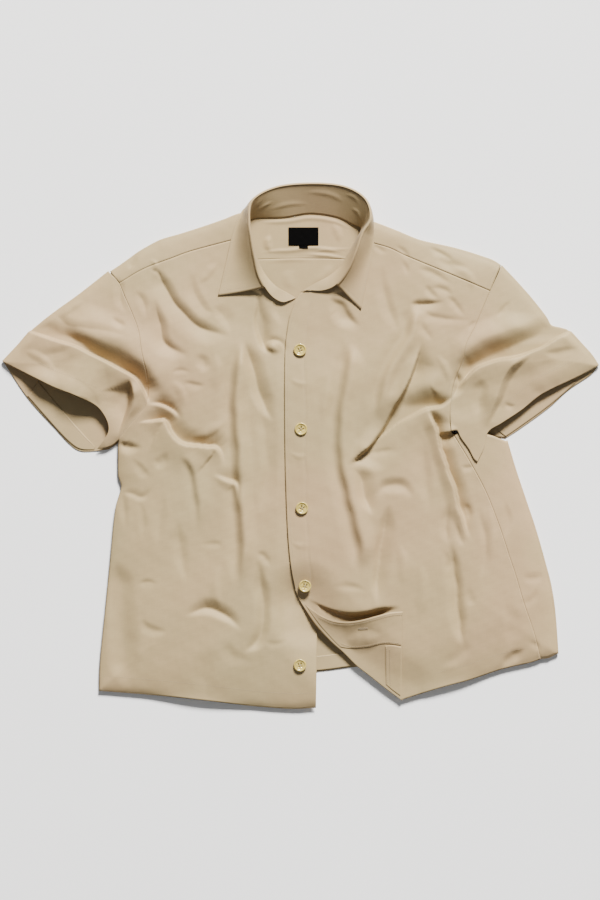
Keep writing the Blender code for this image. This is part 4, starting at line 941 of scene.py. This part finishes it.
def turned(name, profile, steps):
    """Closed turned mesh about Z from a profile of radius and height."""
    bm = bmesh.new()
    rings = []
    for r, z in profile:
        if r == 0:
            rings.append([bm.verts.new((0, 0, z / 1000))])
        else:
            rings.append([bm.verts.new((r * math.cos(a) / 1000, r * math.sin(a) / 1000, z / 1000))
                          for a in np.linspace(0, 2 * math.pi, steps, endpoint=False)])
    for low, high in zip(rings, rings[1:]):
        for i in range(steps):
            j = (i + 1) % steps
            quad = [low[i % len(low)], low[j % len(low)], high[j % len(high)], high[i % len(high)]]
            unique = list(dict.fromkeys(quad))
            if len(unique) > 2:
                bm.faces.new(unique)
    bmesh.ops.recalc_face_normals(bm, faces=bm.faces)
    mesh = bpy.data.meshes.new(name)
    bm.to_mesh(mesh)
    bm.free()
    return mesh


def cut_holes(made):
    """Four holes for the thread, cut through the button's middle."""
    holes = bmesh.new()
    for k in range(4):
        a = math.pi / 4 + k * math.pi / 2
        hole = bmesh.ops.create_cone(holes, cap_ends=True, segments=20, radius1=0.00095, radius2=0.00095,
                                     depth=0.008)
        centre = (0.0021 * math.cos(a), 0.0021 * math.sin(a), 0.001)
        bmesh.ops.translate(holes, verts=hole["verts"], vec=centre)
    mesh = bpy.data.meshes.new("holes")
    holes.to_mesh(mesh)
    holes.free()
    cutter = bpy.data.objects.new("holes", mesh)
    bpy.context.scene.collection.objects.link(cutter)
    cut = made.modifiers.new("holes", "BOOLEAN")
    cut.operation = "DIFFERENCE"
    cut.object = cutter
    graph = bpy.context.evaluated_depsgraph_get()
    done = bpy.data.meshes.new_from_object(made.evaluated_get(graph))
    made.modifiers.clear()
    made.data = done
    bpy.data.objects.remove(cutter)


def button(number, centre, look):
    """A turned button with a rolled rim and a sunk middle, on the highest cloth under it."""
    x, y = centre
    c = np.linspace(-1, 1, 5)
    cx, cy = np.meshgrid(c, c)
    inside = cx**2 + cy**2 <= 1.1
    under = top_layer(x + BUTTON_RADIUS * cx[inside] / CHART, y + BUTTON_RADIUS * cy[inside] / CHART, False)
    z = float(under.max()) + CLOTH / 2 + SEAM
    r, t = BUTTON_RADIUS, BUTTON_THICK
    profile = [(0, 0), (r - 1.6, 0), (r - 0.7, 0.25), (r - 0.15, 0.8), (r, 1.4), (r - 0.15, 2.1),
               (r - 0.6, 2.7), (r - 1.2, t), (r - 1.9, t - 0.15), (r - 2.5, t - 0.6), (r - 2.9, t - 1.0),
               (r - 3.4, t - 1.1), (0, t - 1.1)]
    mesh = turned(f"button_{number}", profile, 64)
    mesh.shade_smooth()
    mesh.materials.append(look)
    made = bpy.data.objects.new(f"horn_button_{number}", mesh)
    bpy.context.scene.collection.objects.link(made)
    cut_holes(made)
    made.data.transform(Matrix.Rotation(BUTTON_TURN * number, 4, "Z"))
    made.location = raised(np.array(centre, float), z) / 1000
    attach(made, "root")
    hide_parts(f"button_{number}")
    pieces[made.name] = made


def threads(name, runs, look):
    """Many short stitches as one piece: each is a six-sided spindle from a start to an end point."""
    starts, ends = (np.vstack([run[k] for run in runs]) for k in (0, 1))
    along = ends - starts
    length = np.linalg.norm(along, axis=1)[:, None]
    t = along / length
    side = np.cross(t, (0, 0, 1.0))
    side /= np.linalg.norm(side, axis=1)[:, None]
    up = np.cross(side, t)
    rings = []
    for share, size in ((0.0, 0.45), (0.2, 1.0), (0.8, 1.0), (1.0, 0.45)):
        centre = starts + along * share
        for k in range(6):
            a = math.pi / 3 * k
            rings.append(centre + (side * math.cos(a) + up * math.sin(a) * 0.8) * THREAD / 2 * size)
    points = np.stack(rings, axis=1)
    faces = []
    for ring in range(3):
        for k in range(6):
            n = (k + 1) % 6
            faces.append((ring * 6 + k, ring * 6 + n, ring * 6 + 6 + n, ring * 6 + 6 + k))
    base = np.arange(len(starts))[:, None, None] * 24
    quads = (np.array(faces)[None] + base).reshape(-1, 4).tolist()
    caps = (np.array([[5, 4, 3, 2, 1, 0], [18, 19, 20, 21, 22, 23]])[None] + base).reshape(-1, 6).tolist()
    mesh = bpy.data.meshes.new(name)
    mesh.from_pydata((points.reshape(-1, 3) / 1000).tolist(), [], quads + caps)
    mesh.shade_smooth()
    mesh.materials.append(look)
    place(name, mesh, None)


def spaced(along, line, first, last):
    """Start and end points of stitches along a line, at even steps of the length along it."""
    places = np.arange(first, last, STITCH_STEP)
    return [np.stack([np.interp(places + extra, along, column) for column in line.T], axis=1)
            for extra in (0.0, STITCH)]


def length_along(line):
    """Length from the start of a line to each of its points."""
    return np.r_[0, np.cumsum(np.linalg.norm(np.diff(line, axis=0), axis=1))]


def stitch_run(path, height, offset=0.0):
    """Start and end points of the stitches along a smooth path on the chart, laid on a height."""
    line = smooth_run(path, 24)
    if offset:
        step = np.gradient(line, axis=0)
        normal = np.stack([-step[:, 1], step[:, 0]], axis=1)
        line = line + normal / np.linalg.norm(normal, axis=1)[:, None] * offset / CHART
    along = length_along(line) * CHART
    return [raised(ends, height(ends[:, 0], ends[:, 1]) + SHELL / 2 + THREAD_RISE)
            for ends in spaced(along, line, 1.0, along[-1] - STITCH - 0.5)]


def stitching(look):
    """Rows of stitches on each piece of cloth."""
    rows = {
        "stitches_right_front": [
            stitch_run(moved(FRONT_HEM, 0, -15.5)[:-1] + [(314, 692.5)], right_front_height),
        ],
        "stitches_left_front": [
            stitch_run(PLACKET_SEAM, front_height),
            stitch_run(FRONT_EDGE[1:-1], front_height, 4.5),
            stitch_run(moved(LEFT_HEM, -2, -15.5)[1:-1], front_height),
            stitch_run(LEFT_SIDE_SEAM, front_height, 2.2),
            stitch_run(LEFT_ARMHOLE, front_height, 6.5),
        ],
        "stitches_yoke": [
            stitch_run(RIGHT_SHOULDER_SEAM, front_height, -2.0),
            stitch_run(LEFT_SHOULDER_SEAM, front_height, -2.0),
        ],
        "stitches_right_sleeve": [
            stitch_run(RIGHT_ARMHOLE, right_sleeve_height, 1.6),
            stitch_run(moved(RIGHT_CUFF, 5, -15)[1:6], right_sleeve_height),
        ],
        "stitches_left_sleeve": [
            stitch_run(LEFT_ARMHOLE, left_sleeve_height, -1.8),
            stitch_run(moved(LEFT_CUFF, -6, -15)[1:6], left_sleeve_height),
        ],
        "stitches_left_facing": [
            stitch_run([(341, 643.5), (352, 646.3), (368, 645), (384, 641.5), (400, 642.5)], on_flap),
            stitch_run(moved(FLAP_EDGE, 0, 3)[2:], on_flap),
        ],
        "stitches_left_hem_turn": [
            stitch_run([(387.2, 683), (386.6, 665), (386.4, 647)], on_flap),
            stitch_run([(390.4, 686), (389.8, 665), (389.6, 647.4)], on_flap),
        ],
        "stitches_back_hem": [stitch_run(moved(BACK_HEM, 0, -14.6)[1:-1], on_hem)],
        "stitches_right_sleeve_hem": [
            stitch_run([(37, 382), (45.2, 392), (66, 416.6), (82, 434.6), (92, 445)], on_hem)],
    }
    for name, runs in rows.items():
        threads(name, runs, look)


def collar_stitching(grid, look):
    """Topstitching of the leaf, a little in from its outer edge and its two front edges."""
    inset = 3
    runs = []
    for line in (grid[-1 - inset, inset:-inset], grid[8:-inset, inset - 1], grid[8:-inset, -inset]):
        line = line + (0, 0, COLLAR_SHELL / 2 + THREAD_RISE)
        along = length_along(line)
        runs.append(spaced(along, line, 0.6, along[-1] - STITCH))
    threads("stitches_collar", runs, look)


def buttonhole(look):
    """The buttonhole of the turned-back corner, worked in close stitches, on the facing."""
    start, end = np.array(BUTTONHOLE, float)
    along = end - start
    across = np.array([-along[1], along[0]]) / np.linalg.norm(along)
    slit = start + along * np.linspace(0, 1, 26)[:, None]
    runs = [[on_facing(slit + across * sign * out, 0.1) for out in (0.12, 0.95)] for sign in (-1, 1)]
    for bar in (start, end):
        for shift in (-0.1, 0.1, 0.3):
            middle = bar + along * shift * 0.04
            runs.append([on_facing((middle + across * sign * 0.95)[None], 0.2) for sign in (-1, 1)])
    threads("stitches_buttonhole", runs, look)


def on_facing(places, rise):
    """Points on the facing of the turned-back corner."""
    return raised(places, on_flap(places[:, 0], places[:, 1]) + rise)


def button_threads(look):
    """Crossed threads in the four holes of each button."""
    runs = []
    for number in range(1, len(BUTTONS) + 1):
        middle = np.array(pieces[f"horn_button_{number}"].location * 1000)
        for k in range(4):
            a = math.pi / 4 + k * math.pi / 2 + BUTTON_TURN * number
            out = np.array([math.cos(a), math.sin(a), 0])
            hole = middle + 2.2 * out + (0, 0, BUTTON_THICK - 1.3)
            crossing = middle - 0.2 * out + (0, 0, BUTTON_THICK - 0.7)
            for shift in (-0.3, 0.3):
                aside = np.array([-math.sin(a), math.cos(a), 0]) * shift
                runs.append([(hole + aside)[None], (crossing + aside)[None]])
    threads("button_threads", runs, look)


def label(look):
    """The woven label and its size tab, lying over the creases of the yoke."""
    base = FLAT_Z + CLOTH / 2 + SEAM + 0.3
    cx, cy = (LABEL_AT[0] - CHART_X) * CHART, (CHART_Y - LABEL_AT[1]) * CHART
    below = -(LABEL_SIZE[1] + TAB_SIZE[1]) / 2 - SEAM
    for name, (w, h), dy, node in (("woven_label", LABEL_SIZE, 0.0, "label"),
                                   ("woven_size_tab", TAB_SIZE, below, "size_tab")):
        gx, gy = np.meshgrid(np.linspace(-w / 2, w / 2, 60), np.linspace(-h / 2, h / 2, 36))
        z = base + 0.05 * np.sin(gx * 0.4) * np.sin(gy * 0.5)
        px, py = (cx + gx) / CHART + CHART_X, CHART_Y - (cy + dy + gy) / CHART
        z = np.maximum(z, neck_height(px, py) + SHELL / 2 + 0.4)
        cloth(name, [np.stack([cx + gx, cy + dy + gy, z], axis=-1)], look, node, LABEL_WALL)


# Materials

def nodes_of(name):
    """A new material: itself, its node tree, its shader and places in object space."""
    made = bpy.data.materials.new(name)
    made.use_nodes = True
    tree = made.node_tree
    return made, tree, tree.nodes["Principled BSDF"], tree.nodes.new("ShaderNodeTexCoord").outputs["Object"]


def surface(shader, tint, normal, constants):
    """Link the colour and the relief, and set constants on the shader's own sockets."""
    tree = shader.id_data
    tree.links.new(tint, shader.inputs["Base Color"])
    if normal:
        tree.links.new(normal, shader.inputs["Normal"])
    for socket, value in constants.items():
        shader.inputs[socket].default_value = value


def grey(value):
    return (value, value, value)


def noise(tree, coords, scale, detail=3.0, roughness=0.55, stretch=None):
    """A noise texture in object space, in cycles per metre."""
    node = tree.nodes.new("ShaderNodeTexNoise")
    node.inputs["Scale"].default_value = scale
    node.inputs["Detail"].default_value = detail
    node.inputs["Roughness"].default_value = roughness
    if stretch:
        mapping = tree.nodes.new("ShaderNodeMapping")
        mapping.inputs["Scale"].default_value = stretch
        tree.links.new(coords, mapping.inputs["Vector"])
        coords = mapping.outputs["Vector"]
    tree.links.new(coords, node.inputs["Vector"])
    return node.outputs["Fac"]


def ramp(tree, value, *stops):
    """A colour ramp over a value."""
    node = tree.nodes.new("ShaderNodeValToRGB")
    colours = node.color_ramp.elements
    while len(colours) < len(stops):
        colours.new(0.5)
    for element, (at, colour) in zip(colours, stops):
        element.position = at
        element.color = (*colour, 1)
    tree.links.new(value, node.inputs["Fac"])
    return node.outputs["Color"]


def mix(tree, kind, amount, a, b):
    """Two colours blended; each input is a socket or a constant."""
    node = tree.nodes.new("ShaderNodeMix")
    node.data_type = "RGBA"
    node.blend_type = kind
    for socket, value in ((node.inputs["Factor"], amount), (node.inputs["A"], a), (node.inputs["B"], b)):
        if isinstance(value, bpy.types.NodeSocket):
            tree.links.new(value, socket)
        else:
            socket.default_value = value if isinstance(value, float) else (*value, 1)
    return node.outputs["Result"]


def shaded(tree, tint, value, low, high, amount=1.0):
    """The tint times a ramp over the value."""
    return mix(tree, "MULTIPLY", amount, tint, ramp(tree, value, low, high))


def bump(tree, height, strength, distance, before=None):
    """Relief of a height, in metres, on top of the relief before it."""
    node = tree.nodes.new("ShaderNodeBump")
    node.inputs["Strength"].default_value = strength
    node.inputs["Distance"].default_value = distance
    tree.links.new(height, node.inputs["Height"])
    if before:
        tree.links.new(before, node.inputs["Normal"])
    return node.outputs["Normal"]


def weave(tree, coords, pitch):
    """Over-and-under threads of a plain weave, as a height from 0 to 1."""
    parts = []
    for axis in ("X", "Y"):
        wave = tree.nodes.new("ShaderNodeTexWave")
        wave.wave_type = "BANDS"
        wave.bands_direction = axis
        wave.inputs["Scale"].default_value = 0.314 / pitch
        wave.inputs["Distortion"].default_value = 0.6
        wave.inputs["Detail"].default_value = 1.0
        wave.inputs["Detail Scale"].default_value = 2.0
        tree.links.new(coords, wave.inputs["Vector"])
        parts.append(wave.outputs["Fac"])
    node = tree.nodes.new("ShaderNodeMath")
    node.operation = "MAXIMUM"
    tree.links.new(parts[0], node.inputs[0])
    tree.links.new(parts[1], node.inputs[1])
    return node.outputs["Value"]


def shirting_look():
    """Plain-woven cotton: slubs both ways, broad unevenness of the dye, a little wear, and the weave."""
    made, tree, shader, coords = nodes_of("beige_shirting")
    tint = ramp(tree, noise(tree, coords, 4.2, 2.0, 0.5), (0.36, (0.344, 0.262, 0.133)),
                (0.5, (0.363, 0.266, 0.135)), (0.64, (0.381, 0.263, 0.139)))
    slub = noise(tree, coords, 90.0, 4.0, 0.6, (1.0, 12.0, 1.0))
    slub_y = noise(tree, coords, 90.0, 4.0, 0.6, (12.0, 1.0, 1.0))
    wear = noise(tree, coords, 28.0, 3.0, 0.6)
    threads_of = weave(tree, coords, 0.00055)
    tint = shaded(tree, tint, slub, (0.3, grey(0.955)), (0.7, grey(1.02)))
    tint = shaded(tree, tint, slub_y, (0.3, grey(0.97)), (0.7, grey(1.015)))
    tint = shaded(tree, tint, wear, (0.35, (0.965, 0.96, 0.95)), (0.65, grey(1.01)))
    tint = shaded(tree, tint, threads_of, (0.0, grey(0.9)), (0.6, grey(1.03)), 0.5)
    normal = bump(tree, noise(tree, coords, 30.0, 2.0, 0.5), 0.12, 0.0012)
    surface(shader, tint, bump(tree, threads_of, 0.25, 0.00012, normal),
            {"Roughness": 0.62, "Specular IOR Level": 0.22, "Sheen Weight": 0.06, "Sheen Roughness": 0.45,
             "Sheen Tint": (1.0, 0.93, 0.82, 1)})
    return made


def thread_look():
    """Twisted sewing thread, a little darker than the cloth in places."""
    made, tree, shader, coords = nodes_of("beige_thread")
    tint = ramp(tree, noise(tree, coords, 300.0), (0.3, (0.30, 0.225, 0.125)), (0.7, (0.36, 0.27, 0.155)))
    surface(shader, tint, bump(tree, noise(tree, coords, 2400.0), 0.4, 0.0001),
            {"Roughness": 0.6, "Sheen Weight": 0.2})
    return made


def horn_look():
    """Cloudy pale horn under a thin polish."""
    made, tree, shader, coords = nodes_of("pale_yellow_horn")
    tint = ramp(tree, noise(tree, coords, 160.0, 4.0, 0.6, (1.0, 2.2, 1.0)), (0.3, (0.36, 0.265, 0.055)),
                (0.5, (0.45, 0.34, 0.085)), (0.7, (0.52, 0.41, 0.13)))
    surface(shader, tint, bump(tree, noise(tree, coords, 700.0, 3.0), 0.15, 0.0001),
            {"Roughness": 0.3, "Coat Weight": 0.35, "Subsurface Weight": 0.12,
             "Subsurface Radius": (0.004, 0.003, 0.001)})
    return made


def label_look():
    """Black satin weave, left bare."""
    made, tree, shader, coords = nodes_of("black_label")
    yarn = weave(tree, coords, 0.0004)
    tint = ramp(tree, yarn, (0.0, grey(0.0004)), (0.8, (0.0012, 0.001, 0.001)))
    fluff = ramp(tree, noise(tree, coords, 260.0), (0.4, grey(0.0)), (0.8, (0.0012, 0.0011, 0.001)))
    surface(shader, mix(tree, "ADD", 0.4, tint, fluff), bump(tree, yarn, 0.4, 0.0001),
            {"Roughness": 0.75, "Specular IOR Level": 0.03})
    return made


def paper_look():
    """Pale matt floor."""
    made, tree, shader, coords = nodes_of("pale_floor")
    tint = ramp(tree, noise(tree, coords, 3.0, 2.0), (0.3, grey(0.90)), (0.7, grey(0.92)))
    surface(shader, tint, None, {"Roughness": 0.9})
    return made


# Stage

# In metres
FLOOR = 4.0                   # half the floor's side
FLOOR_Z = -0.0004
PHOTO_MIDDLE = (300, 450)     # on the chart
PHOTO_HEIGHT = 900 * CHART / 1000
LENS, SENSOR = 135, 36        # in millimetres


def area_light(name, at, aim, size, power, colour):
    """A square light that faces a point."""
    light = bpy.data.lights.new(name, "AREA")
    light.shape = "RECTANGLE"
    light.size = light.size_y = size
    light.energy = power
    light.color = colour
    made = bpy.data.objects.new(name, light)
    made.location = at
    made.rotation_euler = (Vector(aim) - Vector(at)).to_track_quat("-Z", "Y").to_euler()
    bpy.context.scene.collection.objects.link(made)


def stage():
    """A pale floor, a large light beyond the collar, a weak one at the hem, the camera right above."""
    mesh = bpy.data.meshes.new("floor")
    mesh.from_pydata([(x * FLOOR, y * FLOOR, FLOOR_Z) for x, y in ((-1, -1), (1, -1), (1, 1), (-1, 1))],
                     [], [(0, 1, 2, 3)])
    mesh.materials.append(paper_look())
    floor = bpy.data.objects.new("floor", mesh)
    bpy.context.scene.collection.objects.link(floor)
    floor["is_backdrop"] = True
    area_light("key", (3.2, 11.4, 8.2), (0, 0, 0), 3.6, 9000, (1.0, 0.985, 0.96))
    area_light("fill", (0.2, -1.3, 2.6), (0, -0.2, 0), 2.0, 8, (0.97, 0.98, 1.0))
    world = bpy.data.worlds.new("studio")
    bpy.context.scene.world = world
    world.use_nodes = True
    background = world.node_tree.nodes["Background"]
    background.inputs["Color"].default_value = (0.97, 0.98, 1.0, 1)
    background.inputs["Strength"].default_value = 0.17
    lens = bpy.data.cameras.new("camera")
    lens.lens = LENS
    lens.clip_end = 30
    camera = bpy.data.objects.new("camera", lens)
    x, y = PHOTO_MIDDLE
    camera.location = ((x - CHART_X) * CHART / 1000, (CHART_Y - y) * CHART / 1000,
                       PHOTO_HEIGHT * LENS / SENSOR + 0.01)
    bpy.context.scene.collection.objects.link(camera)
    bpy.context.scene.camera = camera


# Flat cuts, in metres: piece, width, length, flat area where it is no rectangle, how it is held,
# what it rests on, what goes with it
CUTS = [
    ("cloth_back", 0.74, 0.66, 0.380, "laid", (), ()),
    ("cloth_yoke", 0.60, 0.12, 0.048, "folded", (), ("stitches_yoke",)),
    ("cloth_right_front", 0.335, 0.72, 0.200, "laid", ("cloth_back",), ("stitches_right_front",)),
    ("cloth_left_front", 0.385, 0.74, 0.204, "folded", ("cloth_back", "cloth_right_front"),
     ("stitches_left_front",)),
    ("cloth_right_sleeve", 0.44, 0.30, 0.085, "folded", (), ("stitches_right_sleeve",)),
    ("cloth_left_sleeve", 0.44, 0.32, 0.085, "folded", ("cloth_back",), ("stitches_left_sleeve",)),
    ("cloth_left_facing", 0.15, 0.055, 0.0053, "laid", ("cloth_left_front",),
     ("stitches_left_facing", "stitches_buttonhole")),
    ("cloth_left_hem_turn", 0.024, 0.078, 0.0016, "laid", ("cloth_left_front",),
     ("stitches_left_hem_turn",)),
    ("cloth_back_hem", 0.67, 0.022, 0.0146, "laid", ("cloth_back",), ("stitches_back_hem",)),
    ("cloth_right_sleeve_hem", 0.13, 0.024, 0.0030, "laid", ("cloth_right_sleeve",),
     ("stitches_right_sleeve_hem",)),
    ("cloth_left_sleeve_hem", 0.125, 0.030, 0.0036, "laid", ("cloth_left_sleeve",), ()),
    ("cloth_collar_band", 0.47, 0.045, 0.0158, "stretched", ("cloth_yoke",), ()),
    ("cloth_collar_leaf", 0.47, 0.075, 0.0196, "folded", ("cloth_collar_band",), ("stitches_collar",)),
    ("woven_label", 0.045, 0.027, None, "laid", ("cloth_yoke",), ("woven_size_tab",)),
]


def declare_sheets():
    """Look up the pieces that each row of the flat cuts names: the sheet, what it rests on and what goes
    with it.
    """
    for name, width, length, area, held, under, along in CUTS:
        [pieces[other] for other in under]
        [pieces[other] for other in along]


def main():
    shirting = shirting_look()
    thread = thread_look()
    back(shirting)
    yoke(shirting)
    right_front(shirting)
    left_front(shirting)
    sleeves(shirting)
    strips(shirting)
    collar_band(shirting)
    leaf = collar_leaf(shirting)
    horn = horn_look()
    for number, at in enumerate(BUTTONS, 1):
        button(number, at, horn)
    label(label_look())
    stitching(thread)
    collar_stitching(leaf, thread)
    buttonhole(thread)
    button_threads(thread)
    declare_sheets()
    stage()


main()
sizes = {name: [[float(value) for value in corner] for corner in box]
         for name, box in (("cad", bounds_of_solids), ("visual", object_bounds()))}
